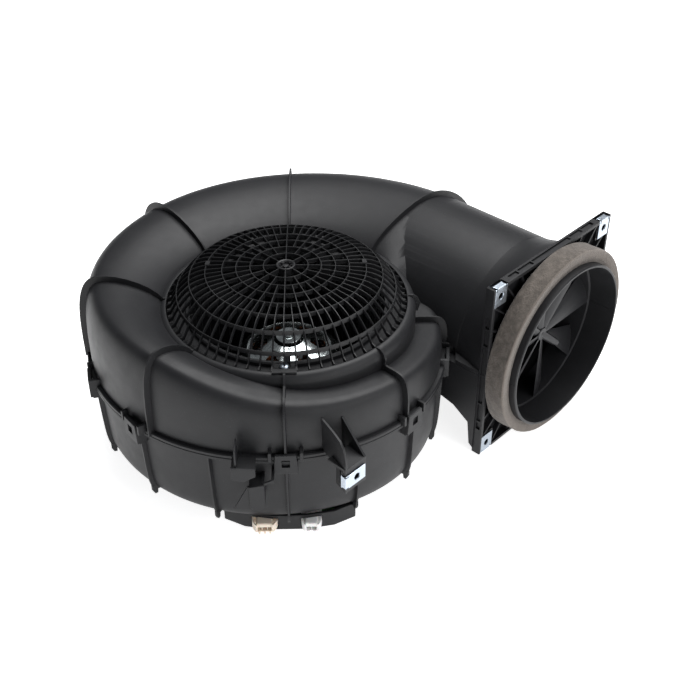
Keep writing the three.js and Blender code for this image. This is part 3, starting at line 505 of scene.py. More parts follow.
def flange():
    """A pocketed square plate: a skin at its back, a rim, corner pads and ribs fanned to the corners."""
    w, h = FLANGE_HALF
    back, front = FLANGE_BACK, FLANGE_FRONT
    plain = softened(box((back, front), (-w, w), (-h, h)), 0.5)
    tray = cut(plain, box((back + 2.5, front + 5), (3 - w, w - 3), (3 - h, h - 3)))
    ribs = []
    for _, across, up in CORNERS:
        y, z = across * FIXING_HALF[0], up * FIXING_HALF[1]
        ribs.append(box((PAD_FRONT - 2.6, PAD_FRONT), (y - 9, y + 9), (z - 10, z + 10)))
        for fan in (-26, -15, -5, 6, 17, 27):
            lean = math.degrees(math.atan2(z, y)) + fan
            ribs.append(placed(box((back, front - 1.2), (68, 120), (-0.7, 0.7)), turn("X", lean)))
    for side in (-1, 1):
        for reach, depth in ((w, 1), (h, 2)):
            groove = [(back + 2.2, front - 1.8), (-58, 58), (-58, 58)]
            groove[depth] = sorted((side * (reach - 1.6), side * (reach + 4)))
            tray = cut(tray, box(*groove))
    inside = box((back + 0.1, front), (0.2 - w, w - 0.2), (0.2 - h, h - 0.2))
    fan = worked(ribs[0], *[("UNION", r) for r in ribs[1:]], ("INTERSECT", inside))
    return moved(joined(tray, fan), DUCT)


def fixing_rooms():
    """Each fixing hole, and the room that its spring nut takes in the flange's rim."""
    rooms = []
    for _, across, up in CORNERS:
        place = corner_place(across, up)
        rooms += [
            placed(rod(FIXING_BORE, FLANGE_BACK - 10, FLANGE_FRONT + 10), place, LAY),
            placed(box((PAD_FRONT, FLANGE_FRONT + 5), (-7.8, 7.8), (-9.3, 20)), place),
            placed(box((PAD_FRONT - 6, FLANGE_FRONT + 5), (-7.8, 7.8), (7.6, 20)), place),
            placed(box((PAD_FRONT - 6.6, PAD_FRONT - 2.6), (-6.5, 6.5), (-7.5, 20)), place),
        ]
    return rooms


def gussets():
    """Webs between the spigot's root and the back of the flange."""
    web = upright([(SPIGOT_START - 8, 73), (FLANGE_BACK + 1, 73), (FLANGE_BACK + 1, 82),
                   (SPIGOT_START + 8, 76)], -1, 1)
    return [placed(web, DUCT, turn("X", a)) for a in (25, 65, 115, 155, 205, 245, 295, 335)]


def duct_lips():
    """The parting lip, carried along both sides of the duct to the flange."""
    z = (AXIS_Z - 3.5, AXIS_Z + 3.5)
    return [placed(box((start, FLANGE_BACK + 1), (DUCT_OFFSET + low, DUCT_OFFSET + high), z), OUTLET)
            for start, low, high in ((0, 74, 80), (60, -84, -74))]


def corner_web():
    """The web that ties the spiral's wall to the flange's lower corner."""
    outline = [(92, AXIS_Z - 1), (FLANGE_BACK + 1, AXIS_Z - 1), (FLANGE_BACK + 1, 5), (FLANGE_BACK - 3, 8),
               (FLANGE_BACK - 6, 30), (112, 40), (92, 44)]
    return placed(upright(outline, DUCT_OFFSET - 83, DUCT_OFFSET - 80.5), OUTLET)


# ---------------------------------------------------------------- clips, hooks, side bracket
def clip_face(angle):
    """Just outside the lip, at an angle from +X."""
    return float(station((45 - angle) % 360)[0][0]) + 3.6 + GAP


def snap_tongue(angle):
    """A tapered tongue with a window, on a root that joins it to the wall."""
    face = clip_face(angle)
    leaf = plate([(-9.4, -11), (9.4, -11), (8, 7), (-8, 7)], 0, 3)
    leaf = softened(placed(leaf, turn("Z", 90), turn("X", 90)), 0.6)
    slot = box((-2, 5), (-3.1, 3.1), (-4.6, 2.6))
    leaf = moved(cut(leaf, slot), shift(face, 0, AXIS_Z))
    root = box((face - 6, face + 1), (-9, 9), (AXIS_Z - 12, AXIS_Z - GAP))
    return moved(joined(leaf, root), turn("Z", angle))


def clip_room(angle):
    """The room in the upper lip that a tongue passes through."""
    face = clip_face(angle)
    room = box((face - GAP, face + 8), (-10.3, 10.3), (AXIS_Z - 1, AXIS_Z + 7.3))
    return placed(room, turn("Z", angle))


def lugs(angle):
    """Two lugs, one on each side of a tongue."""
    face, height = clip_face(angle), (AXIS_Z + GAP, AXIS_Z + 9)
    pair = [box((face - 7, face + 2.6), (y - 1.3, y + 1.3), height) for y in (-11.9, 11.9)]
    return [moved(softened(lug, 0.5), turn("Z", angle)) for lug in pair]


def upper_hook():
    """A cable hook over the parting lip: a shelf, a hanging leaf and a post."""
    shelf = box((-40, -22), (-149.3, -134), (AXIS_Z + 2, AXIS_Z + 4.2))
    leaf = softened(upright([(-40, 92), (-22, 90), (-22, 83), (-31, 78), (-40, 80)], -149.3, -147.3), 0.4)
    post = upright([(-37.5, 88), (-35.5, 88), (-36, 106), (-37, 106)], -147.3, -132)
    return joined(shelf, leaf, post)


def lower_hook():
    """The cable hook under it: a leaf and a flap on an arm, braced to the lip."""
    flap = upright([(-40, 47), (-27, 46), (-27, 69.5), (-29, 69)], -145.6, -143.6)
    leaf = softened(upright([(-28, 49), (-20, 46), (-16.5, 50), (-16.5, 72), (-28, 70)], -147.2, -145.2), 0.4)
    brace = upright([(-18, 70), (-9, 74.5), (-9, 76.5), (-18, 72)], -146, -144.4)
    return joined(leaf, flap, brace, box((-18.5, -16.5), (-146, -127), (50, 71)),
                  box((-28, -17), (-146, -130), (67, 69)), box((-11, -9), (-145.8, -130), (72, 76)))


def slanted(slope, start):
    """Moves local Y by the slope times the distance back from the start."""
    m = np.eye(4)
    m[1, 0], m[1, 3] = -slope, slope * start
    return m


def side_bracket():
    """Two cheeks, a face and a shelf that carry the fifth fixing in the flange's plane."""
    y, z = SIDE_FIXING
    face, edges = PAD_FRONT, (y - 11, y + 11)
    foot = [(face, z - 12), (128, z - 12), (128, z + 6), (100, z + 6)]
    high = [(100, 112), (107.5, 118), (124, 117), (133, 115.5), (138, 112), (face, 102), *foot]
    low = [(104, 112), (116, 115.5), (face, z + 12), *foot]
    left = placed(upright(high, edges[0], edges[0] + 2), slanted(0.277, face))
    right = placed(upright(low, edges[1] - 2, edges[1]), slanted(0.114, face))
    left, right = softened(left, 0.35), softened(right, 0.35)
    front = box((face - 2.4, face - 0.02), edges, (z - 11, z + 11.9))
    shelf = box((123, face - 0.05), edges, (z + 10, z + 11.95))
    hole = placed(rod(FIXING_BORE, 100, 160), shift(0, y, z), LAY)
    slot = box((face - 8, face - 2.4), (edges[0] - 1, edges[0] + 3), (z - 6.5, z + 6.5))
    return moved(cut(joined(left, right, front, shelf), hole, slot), OUTLET)


# ---------------------------------------------------------------- inlet grille
RINGS = (17.9, 28.5, 39.8, 50.9, 64.4, 77.7, 88.5)
SPOKES = 64
ROLL_START = 62  # the dome is nearly flat out to here
RIM_RADIUS = 97.6


def dome(radius, top):
    """Nearly flat to the start of the roll, then down by a power of the distance past it."""
    radius = np.asarray(radius, float)
    past = np.maximum(0, radius - ROLL_START) / 34.5
    return top - 3 * (radius / 60) ** 2 - 26 * past**2.4


def grille_ring(radius, top, bar, deep):
    """A bar's rounded section carried round a circle."""
    z, h = float(dome(radius, top)), bar / 2
    lean = 0.35 * h
    return turned([(radius - h - lean, z - deep), (radius + h + lean, z - deep), (radius + h, z - 0.5),
                   (radius + h * 0.5, z), (radius - h * 0.5, z), (radius - h, z - 0.5)], 128)


def grille_spoke(start, angle, top, bar, deep):
    """A bar's section carried along the dome's curve from the start radius to the rim."""
    r = np.concatenate([np.linspace(start, ROLL_START, 4)[:-1], np.linspace(ROLL_START, RIM_RADIUS, 12)])
    z = np.maximum(dome(r, top), COLLAR_Z + 0.4)
    foot = np.maximum(z - deep, DECK_Z + 0.4)
    h = bar / 2
    section = [(-h * 1.35, foot), (h * 1.35, foot), (h, z - 0.5), (h / 2, z), (-h / 2, z), (-h, z - 0.5)]
    ring = np.stack([np.stack([r, np.full_like(r, y), up], -1) for y, up in section], 1)
    return placed(lofted(ring), turn("Z", angle))


def grille_bars(top, bar, deep):
    """Rings, spokes that double in number outwards, the rim, the hub's button and the screw's tab."""
    rings = [grille_ring(r, top, bar, deep) for r in RINGS]
    spokes = []
    for i in range(SPOKES):
        start = 4 if i % 8 == 0 else RINGS[0] if i % 4 == 0 else RINGS[1] if i % 2 == 0 else RINGS[3]
        spokes.append(grille_spoke(start, 360 / SPOKES * i, top, bar, deep))
    hub = turned([(0, top - 6), (7.8, top - 6), *arc(7.0, top - 0.2, 0.8, 0, 90, 4), (6.2, top + 0.5),
                  (5.2, top - 0.4), (4.6, top - 2.2), (2.6, top - 2.2), (2.2, top - 0.6),
                  (0.01, top - 0.3)], 48)
    rim = turned([(92, DECK_Z + GAP), (RIM_RADIUS, DECK_Z + GAP), (RIM_RADIUS, 136.2), (97.2, 136.8),
                  (93, 136.4), (92.2, 135.6)], 168)
    lip, floor, wide = 141.3, 137.2, (-9.3, 9.3)
    boss = placed(rod(4.6, DECK_Z + 1, SCREW_SEAT - 0.1), shift(0, SCREW_Y, 0))
    tab = [box(wide, (-97.6, -84.5), (DECK_Z + GAP, 138.2)), box(wide, (-97.6, -96.2), (floor, 141.6)),
           box(wide, (-101, -96.6), (lip, 142.5)), box((-0.5, 4.6), (-88.6, -86.4), (floor, 151)),
           *[box((s * 8.7 - 0.6, s * 8.7 + 0.6), (-97, -88), (floor, 142.4)) for s in (-1, 1)]]
    marks = [placed(box((62, 65.5), (-2.6, 2.6), (dome(64, top) - 3, dome(64, top) + 0.4)), turn("Z", a))
             for a in (8, 172)]
    return gathered(*rings, *spokes, hub, rim, boss, *tab, *marks)


def pan_screw(seat, tip, shank, head):
    """A domed head with a cross recess over a plain shank."""
    body = turned([(0, tip), (shank, tip), (shank, seat), (head, seat), (head, seat + 0.9),
                   (head * 0.9, seat + 1.6), (head * 0.7, seat + 2.1), (head * 0.4, seat + 2.4),
                   (0.3, seat + 2.5)], 40)
    blade = box((-head * 0.52, head * 0.52), (-0.45, 0.45), (seat + 1, seat + 4))
    return cut(body, *[placed(blade, turn("Z", a)) for a in (35, 125)])


# ---------------------------------------------------------------- outlet
def ripple(a, b, seed, waves=6):
    """A sum of sine waves in two directions, with seeded sizes and phases, about zero."""
    rng = np.random.default_rng(seed)
    total = 0
    for k in range(1, waves + 1):
        size = rng.uniform(0.4, 1) / k
        phase = k * a * rng.integers(1, 4) + b * rng.uniform(0.5, 2) * k + rng.uniform(0, 6.28)
        total = total + size * np.sin(phase)
    return total / 2


def foam_ring(radius):
    """A band's rounded section carried round the spigot; the outer skin swells and sags by waves of
    the angle, and folds where the strip was bent."""
    around = np.linspace(0, 2 * np.pi, 240, endpoint=False)
    front, back = SPIGOT_END - 5.0, FLANGE_FRONT + GAP
    inner = SPIGOT_RADIUS + GAP
    section = np.array([(inner, back), *arc(radius - 1.5, back + 1.5, 1.5, -90, 0, 4),
                        *[(radius, z) for z in np.linspace(back + 4, front - 3, 6)],
                        *arc(radius - 1.3, front - 1.3, 1.3, 0, 90, 4), (inner + 5, front - 0.5),
                        (inner + 2, front - 1.2), (inner, front - 1.2)])
    swell = np.clip((section[:, 0] - inner) / (radius - inner), 0, 1)[:, None]
    a = around[None]
    up = np.clip(np.cos(a - np.pi), 0, 1)
    skin = 0.5 * ripple(a, section[:, 1:] * 0.12, 4) + 1.6 * up**2 - 0.6 * np.clip(np.cos(a), 0, 1)
    fold = sum(d * np.exp(-((np.angle(np.exp(1j * (a - at))) / w) ** 2))
               for at, d, w in ((0.62, -0.9, 0.02), (1.05, -0.7, 0.025), (5.4, -0.6, 0.02)))
    r = section[:, :1] + swell * (skin + fold * (section[:, 1:] > front - 9))
    x = section[:, 1:] + swell * 0.35 * ripple(a * 2, section[:, :1] * 0.1, 9)
    x = np.clip(x, back, None) + 0 * a
    return placed(lofted(np.stack([r * np.cos(a), r * np.sin(a), x], -1), closed=True), DUCT, LAY)


def guide_vane(angle, pitch):
    """A flat leaf from hub to ring: its chord grows with the radius and leans back by the pitch, and
    its rear corner curves in."""
    t = np.linspace(0, 1, 14)
    r = 4 + 66.4 * t
    chord = 5 + 24 * t**1.1 - 3.5 * np.clip((t - 0.9) / 0.1, 0, 1) ** 2
    across = np.linspace(0, 1, 7)
    c = -1 + (chord[:, None] + 1) * across
    bow = 1.2 * np.sin(across * np.pi)[None] * t[:, None]
    thick = 0.8 * np.sqrt(np.clip(1 - (2 * across - 1) ** 8, 0.05, 1))[None]
    lean, spin = math.sin(pitch), math.cos(pitch)
    faces = []
    for side in (1, -1):
        depth = side * thick + bow
        y = c * spin + depth * lean * 0.3
        z = VANE_FRONT - 1.4 - c * lean + depth * spin
        faces.append(np.stack([np.broadcast_to(r[:, None], y.shape), y, z], -1))
    ring = np.concatenate([faces[0], faces[1][:, ::-1]], 1)
    return placed(lofted(ring), turn("Z", angle))


def vane_ring(pitch, count):
    """The ring that lines the spigot, the hub with its peg, and the vanes between them."""
    bore, front = SPIGOT_BORE, VANE_FRONT
    ring = turned([(bore - 2.3, 118), (bore - GAP, 118), (bore - GAP, front), (bore - 0.8, front),
                   (bore - 2.3, front - 0.8)], 144)
    hub = turned([(0, 120), (4.6, 120), (6.2, 123), (6.2, front - 2), *arc(5.2, front - 1.1, 1.0, 0, 90, 4),
                  (0, front - 0.1)], 40)
    vanes = [guide_vane(360 / count * i + 90, pitch) for i in range(count)]
    peg = turned([(0, 0), (4.2, 0), (3.5, 23), (2.4, 25.6), (0, 26.2)], 20)
    peg = placed(peg, turn("Z", 47), shift(0, 0, 137), turn("Y", 72))
    return joined(ring, *vanes, hub, peg)


def spring_nut(fold, back, half=7.5):
    """Two leaves of sheet and the fold that joins them, a threaded hole through both, and the two
    small ears where the strip was sheared."""
    front = softened(joined(box((0, 1), (-half, half), (-9, fold + 0.4)),
                            box((0, 1), (-5.6, 5.6), (fold, fold + 1))), 0.3)
    over = softened(box((-back - 1, 1), (-5.4, 5.4), (fold, fold + 1)), 0.45)
    rear = softened(box((-back - 1, -back), (-6, 6), (-7, fold + 1)), 0.25)
    thread = placed(rod(4, -back - 3, -back), LAY)
    hole = placed(rod(2.8, -back - 10, 10), LAY)
    sink = placed(turned([(0, 0.5), (3.0, 0.5), (3.5, 1.4), (0, 1.4)], 32), LAY)
    notch = [box((-0.5, 2), (s * 5.6 - 0.5, s * 5.6 + 0.5), (fold - 2.4, fold + 3)) for s in (-1, 1)]
    return cut(joined(front, over, rear, thread), hole, sink, *notch)


# ---------------------------------------------------------------- motor and wheel
def bell(radius):
    """The drawn rotor bell: a hub boss, a stepped top with six windows, a rounded shoulder."""
    top = [(12.5, 99.4), (15, 98.6), (20, 96.4), (26, 93.4), (31, 90.9), (33, 90.6), (35.5, 90.8),
           (38, 89.2), (41.5, 86), (44.4, 81.5), (radius, 76)]
    under = [(r - 1.4, z - 2.2) for r, z in top]
    brim = [(radius - 2, 26), (radius + 8, 26), (radius + 8, 28), (radius + 1, 28), (radius, 29)]
    boss = [(11.4, 102.4), (10.6, 103), (4.3, 103), (4.3, 92), (10, 92)]
    shell = turned([*boss, *under, *brim, *top[::-1]], 120)
    window = plate([(18, -3.4), (29, -7), (30.5, -5), (30.5, 5), (29, 7), (18, 3.4)], 80, 106)
    holes = [placed(window, turn("Z", 60 * i)) for i in range(6)]
    return cut(shell, *holes)


def wheel(radius, blades):
    """Blades between a back plate and a top ring; each blade's section bends by a part of a sine."""
    base = turned([(46.5, 28.3), (radius, 28.3), (radius, 31), (60, 31.4), (50, 33), (46.5, 33)], 144)
    ring = turned([(radius - 6, 121), (radius, 121), (radius, 125.6), (radius - 0.6, 126),
                   (radius - 5.4, 126), (radius - 6, 125.4)], 144)
    t = np.linspace(0, 1, 7)
    r, y = radius - 18 + 17 * t, 5.4 * np.sin(t * np.pi * 0.72)
    blade = plate(np.concatenate([np.c_[r, y], np.c_[r + 0.2, y - 1.3][::-1]]), 30, 125)
    return gathered(base, ring, *[placed(blade, turn("Z", 360 / blades * i)) for i in range(blades)])


def motor_pan():
    """The spun plate under the motor, with the bearing tube on it."""
    pan = turned([(8.6, 0), (42, 0), *arc(42, 2, 2, -90, 0, 4), (44, 9), (45, 10), (62, 10), (63, 11),
                  (62, 12), (43.5, 12), (42, 10.5), (42, 3), (41, 2), (12, 2), (11, 3), (11, 80),
                  (8.6, 80)], 96)
    hole = placed(rod(3.4, 5, 15), shift(MOTOR_SCREW_CIRCLE, 0, 0))
    holes = [placed(hole, turn("Z", a)) for a in MOTOR_ANGLES]
    return cut(pan, *holes, box((-5, 5), (-50, -30), (2.5, 9.5)))


# ---------------------------------------------------------------- terminal box and sockets
def terminal_box():
    """A shallow tray whose front edge bends round the spiral, with posts for its screws."""
    right = np.array([(53, -72), (53, -110.5), (36, -119.5), (14, -123.5)])
    outline = np.concatenate([right, (right * (-1, 1))[::-1]])
    inner = outline * (0.955, 1)
    inner[:, 1] = (inner[:, 1] + 95) * 0.925 - 95
    tray = cut(softened(plate(outline, 0, 15.7), 0.8), plate(inner, 2, 21))
    holes = [box((x - half - GAP, x + half + GAP), (-135, -108), (2.2, 12.8)) for _, x, half, *_ in SOCKETS]
    places = [shift(x, y, 0) for x, y in COVER_SCREWS]
    tray = joined(cut(tray, *holes), *[placed(rod(5, 1, 15.7), place) for place in places])
    bores = [placed(rod(radius, -1, z), place) for place in places for radius, z in ((2.2, 30), (4.4, 4))]
    return cut(tray, *bores, box((-2.5, 2.5), (-76, -70), (6, 21)))


def plug_socket(x, half, top, ways):
    """A header block with a mouth for each way, teeth along its front, and two latch arms whose plan
    curves in towards the tip by a power of the distance from the box."""
    low, inner, pitch = 3.6, half * 0.62, half * 1.24 / ways
    arm_z = (low + 0.8, top - 0.5)
    block = softened(box((x - inner, x + inner), (-129.2, -112), (low, top)), 0.7, 3)
    mouth = box((x - inner + 1.1, x + inner - 1.1), (-134, -116), (low + 1.4, top - 3.4))
    parts = [box((x - half, x + half), (-120.5, -112.5), (low + 0.6, top - 0.6))]
    t = np.linspace(0, 1, 13)
    y = -119.5 - 10.4 * t
    for side in (-1, 1):
        bend = x + side * (half - 0.6 - half * 0.34 * t**2.6)
        parts.append(plate(np.concatenate([np.c_[bend - 0.6, y], np.c_[bend + 0.6, y][::-1]]), *arm_z))
        parts.append(box(sorted((x + side * half * 0.66, x + side * (inner - 0.4))), (-129.9, -128.6), arm_z))
    for i in range(ways):
        at = x + pitch * (i - (ways - 1) / 2)
        wall = at - pitch / 2
        parts.append(box((at - 0.9, at + 0.9), (-129.9, -127.5), (low - 1.4, low + 1.6)))
        parts.append(box((wall - 0.3, wall + 0.3), (-128.4, -115), (low + 1, top - 1)))
    parts.append(box((x - inner + 1, x + inner - 1), (-128.6, -114), (top - 0.3, top + 0.3)))
    return joined(cut(block, mouth), *parts)


# ---------------------------------------------------------------- finishes
class Value:
    """A socket's value in a finish; arithmetic on it adds the Math node that works it out."""

    def __init__(self, finish, socket):
        self.finish, self.socket = finish, socket

    def math(self, operation, *others):
        return self.finish.node("ShaderNodeMath", {"operation": operation}, *others)

    def __add__(self, other):
        return self.math("ADD", self, other)

    def __sub__(self, other):
        return self.math("SUBTRACT", self, other)

    def __rsub__(self, other):
        return self.math("SUBTRACT", other, self)

    def __mul__(self, other):
        return self.math("MULTIPLY", self, other)

    __rmul__ = __mul__

    def above(self, edge, width):
        """0 below the edge and 1 past its width, with a soft step between."""
        return self.finish.node("ShaderNodeMapRange", {"interpolation_type": "SMOOTHSTEP"}, self, edge,
                                edge + width, 0.0, 1.0)


class Finish:
    """A node material on one Principled shader."""

    def __init__(self, name, **fixed):
        self.material = bpy.data.materials.new(name)
        self.material.use_nodes = True
        self.tree = self.material.node_tree
        self.shader = self.tree.nodes["Principled BSDF"]
        for socket, value in fixed.items():
            self.shader.inputs[socket.replace("_", " ")].default_value = value
        self.place = self.node("ShaderNodeTexCoord", {}, output="Object")

    def node(self, kind, settings, *values, output=0, **named):
        """Adds a node, makes its settings, then sets or links its sockets in order or by name."""
        node = self.tree.nodes.new(kind)
        for key, value in settings.items():
            setattr(node, key, value)
        for key, value in [*enumerate(values), *named.items()]:
            socket = node.inputs[key]
            if isinstance(value, Value):
                self.tree.links.new(value.socket, socket)
            elif value is not None:
                socket.default_value = (*value, 1.0) if socket.type == "RGBA" else value
        return Value(self, node.outputs[output])

    def spots(self, size, detail=2.0, rough=0.5, stretch=(1, 1, 1)):
        """Noise whose features are about this many millimetres across."""
        at = self.place
        if stretch != (1, 1, 1):
            at = self.node("ShaderNodeMapping", {}, at, Scale=stretch)
        return self.node("ShaderNodeTexNoise", {}, Vector=at, Scale=1 / (size * MM), Detail=detail,
                         Roughness=rough)

    def cells(self, size, output="Distance"):
        return self.node("ShaderNodeTexVoronoi", {}, Vector=self.place, Scale=1 / (size * MM), output=output)

    def mix(self, factor, a, b):
        mixer = self.tree.nodes.new("ShaderNodeMix")
        mixer.data_type = "RGBA"
        for index, value in ((0, factor), (6, a), (7, b)):
            if isinstance(value, Value):
                self.tree.links.new(value.socket, mixer.inputs[index])
            else:
                mixer.inputs[index].default_value = value if index == 0 else (*value, 1.0)
        return Value(self, mixer.outputs[2])

    def set(self, socket, value):
        self.tree.links.new(value.socket, self.shader.inputs[socket])
        return self

    def bump(self, height, depth, strength=1.0):
        """Raises the surface by height times the depth in millimetres."""
        node = self.node("ShaderNodeBump", {}, Height=height, Distance=depth * MM, Strength=strength)
        return self.set("Normal", node)


def tint(c, k):
    return tuple(min(1.0, v * k) for v in c)


def moulded_plastic(name, base, rough, grain=0.6, depth=0.03, specular=0.32):
    """Grained moulding: fine spark texture, faint flow streaks, rubbed patches and dust."""
    f = Finish(name, IOR=1.46, Specular_IOR_Level=specular)
    flow = f.spots(38, 3, 0.6, (1, 1, 2.2))
    haze = f.spots(9, 3)
    dust = f.spots(1.3, 1).above(0.69, 0.05)
    body = f.mix(flow, tint(base, 0.8), tint(base, 1.3))
    f.set("Base Color", f.mix(dust * 0.1, body, tint(base, 7)))
    f.set("Roughness", haze * 0.14 + flow * 0.1 + (rough - 0.12))
    f.bump(f.spots(grain, 2) + 0.5 * f.spots(grain * 3, 1), depth, 0.55)
    return f.material


def foam_finish(base):
    """Open-celled foam: pits at two sizes, the larger ones darkened as painted shade, darker mottling and a
    paler front face.
    """
    f = Finish("sealing_foam", Roughness=0.96, Specular_IOR_Level=0.18, Sheen_Weight=0.25)
    pits = f.cells(1.5)
    fine = f.cells(0.7)
    mottle = f.spots(5.5, 4, 0.65)
    dark = f.spots(17, 3, 0.6, (1, 1, 0.5))
    body = f.mix(mottle.above(0.35, 0.35), tint(base, 0.66), tint(base, 1.18))
    body = f.mix(dark.above(0.4, 0.3) * 0.45, body, tint(base, 0.74))
    along_strip = f.node("ShaderNodeMapping", {}, f.place, Rotation=(0, 0, math.radians(45)),
                         Scale=(2.6, 0.3, 0.3))
    lines = f.node("ShaderNodeTexNoise", {}, Vector=along_strip, Scale=330.0, Detail=3.0, Roughness=0.6)
    body = f.mix(lines.above(0.42, 0.25) * 0.4, body, tint(base, 0.6))
    x, y = (f.node("ShaderNodeSeparateXYZ", {}, f.place, output=axis) for axis in "XY")
    out = (x - y) * math.sqrt(0.5)  # along the outlet's axis; the foam is paler over its front face
    body = f.mix(out.above((SPIGOT_END - 6.5) * MM, 0.8 * MM) * 0.6, body, tint(base, 1.35))
    # painted shade: the centres of the larger pits are darkened towards a deep foam colour, standing in for
    # the shade inside the open pores
    f.set("Base Color", f.mix((1 - pits).above(0.62, 0.4) * 0.55, body, tint(base, 0.45)))
    f.bump(pits * 0.8 + fine * 0.5 + mottle * 0.8, 0.45, 0.7)
    return f.material


def bright_metal(name, base, rough, spangle=3.0, brushed=(1, 1, 1), tone=0.25):
    """Metal with crystal or brush marks in its colour, roughness and surface."""
    f = Finish(name, Metallic=1.0)
    marks = f.spots(spangle, 3, 0.6, brushed)
    grey = f.node("ShaderNodeSeparateColor", {}, f.cells(spangle, "Color"))
    f.set("Base Color", f.mix(grey * tone + marks * 0.3, tint(base, 0.78), tint(base, 1.12)))
    f.set("Roughness", marks * 0.16 + grey * 0.06 + (rough - 0.08))
    f.bump(marks, 0.02, 0.35)
    return f.material


def stacked_sheets(base):
    """Thin lines across the height, one for each lamination."""
    f = Finish("laminations", Metallic=0.9)
    z = f.node("ShaderNodeSeparateXYZ", {}, f.place, output="Z")
    turns = z * (2 * math.pi / (0.65 * MM))
    line = turns.math("SINE", turns).above(0.2, 0.6)
    rust = f.spots(6, 4).above(0.55, 0.2)
    steel = f.mix(line, tint(base, 0.35), tint(base, 0.8))
    f.set("Base Color", f.mix(rust * 0.35, steel, (0.16, 0.08, 0.04)))
    f.set("Roughness", line * 0.2 + 0.35)
    f.bump(line, 0.05)
    return f.material


def wound_wire(base):
    """Bands of enamelled wire crossing at a slant."""
    f = Finish("winding_wire", Metallic=0.85)
    waves = f.node("ShaderNodeTexWave", {}, Vector=f.place, Scale=260.0, Distortion=2.0, Detail=1.0)
    f.set("Base Color", f.mix(waves, tint(base, 0.4), tint(base, 1.15)))
    f.set("Roughness", waves * 0.2 + 0.28)
    f.bump(waves, 0.2)
    return f.material


def connector_nylon(name, base):
    """Slightly waxy nylon with sink marks and a little grime."""
    f = Finish(name, Specular_IOR_Level=0.42, Subsurface_Weight=0.08, Subsurface_Scale=0.001)
    sink = f.spots(5, 3)
    grime = f.spots(1.6, 3).above(0.6, 0.15)
    body = f.mix(sink, tint(base, 0.86), tint(base, 1.06))
    f.set("Base Color", f.mix(grime * 0.25, body, tint(base, 0.55)))
    f.set("Roughness", sink * 0.2 + 0.36)
    f.bump(f.spots(0.7, 2), 0.03, 0.4)
    return f.material


def board_finish(base, brass):
    """Green solder mask with copper tracks under it."""
    f = Finish("circuit_board", Roughness=0.4)
    track = f.node("ShaderNodeTexBrick", {}, Vector=f.place, Scale=160.0, output="Fac")
    f.set("Base Color", f.mix(track * 0.6, base, f.mix(f.spots(2), tint(base, 1.8), brass)))
    f.bump(track, 0.04)
    return f.material


def finishes(colours):
    """Every finish of the blower: those of the record's slots, and three more shades of its plastic."""
    c = {key: tuple(getattr(colours, key)) for key in BlowerColours.__annotations__}
    return {
        "black_plastic": moulded_plastic("moulded_plastic", c["plastic"], 0.47),
        "grille": moulded_plastic("grille_plastic", tint(c["plastic"], 0.8), 0.4, 0.5, 0.02, 0.38),
        "vane": moulded_plastic("vane_plastic", tint(c["plastic"], 1.3), 0.42, 0.7, 0.02, 0.4),
        "wheel": moulded_plastic("wheel_plastic", tint(c["plastic"], 0.7), 0.5, 0.7, 0.03, 0.3),
        "foam": foam_finish(c["foam"]),
        "zinc_steel": bright_metal("zinc_steel", c["zinc"], 0.3, 1.6, tone=0.35),
        "bell_steel": bright_metal("bell_steel", c["steel"], 0.13, 9.0, (1, 1, 3), 0.1),
        "lamination": stacked_sheets(c["steel"]),
        "winding": wound_wire(tint(c["copper"], 0.4)),
        "rubber": moulded_plastic("grommet_rubber", c["rubber"], 0.85, 0.9, 0.05, 0.2),
        "beige_nylon": connector_nylon("beige_nylon", c["beige"]),
        "white_nylon": connector_nylon("white_nylon", c["white"]),
        "contact_brass": bright_metal("contact_brass", c["brass"], 0.25, 1.0),
        "board_laminate": board_finish(c["board"], c["brass"]),
        "capacitor_can": bright_metal("capacitor_can", tint(c["steel"], 0.9), 0.3, 2.0),
    }


MADE = {}


def look(name):
    """The finish of that name; they are all made when the first is asked for."""
    if not MADE:
        MADE.update(finishes(bpy.context.scene.blower_colours))
    return MADE[name]


SLOT_OF = {
    "rotor_ring": "lamination", "stator_core": "lamination", "stator_winding": "winding",
    "motor_grommet": "rubber", "motor_lead": "rubber", "motor_screw": "zinc_steel",
    "cover_screw": "zinc_steel", "motor_shaft": "bell_steel", "shaft_clip": "bell_steel",
    "bearing_cap": "bell_steel", "upper_bearing": "bell_steel", "lower_bearing": "bell_steel",
    "control_board": "board_laminate", "board_capacitor": "capacitor_can",
    "beige_contact": "contact_brass", "white_contact": "contact_brass",
}


# ---------------------------------------------------------------- operators
FLOOR_HALF = 9000
LAMPS = (  # name, place and aim in metres, size, power
    ("top_softbox", (0.38, 0.45, 1.6), (0.05, 0.02, 0.1), 1.4, 42),
    ("front_fill", (1.2, -1.9, 0.9), (0, 0, 0.06), 1.2, 11),
    ("outlet_light", (1.6, -0.9, 1.1), (0.2, 0, 0.08), 1.0, 9),
)
CAMERA_PLACE = (0.0329, -0.7236, 0.6337)
CAMERA_DOWN, CAMERA_RIGHT = 37.11, 1.457  # degrees
CAMERA_LENS = 55.17


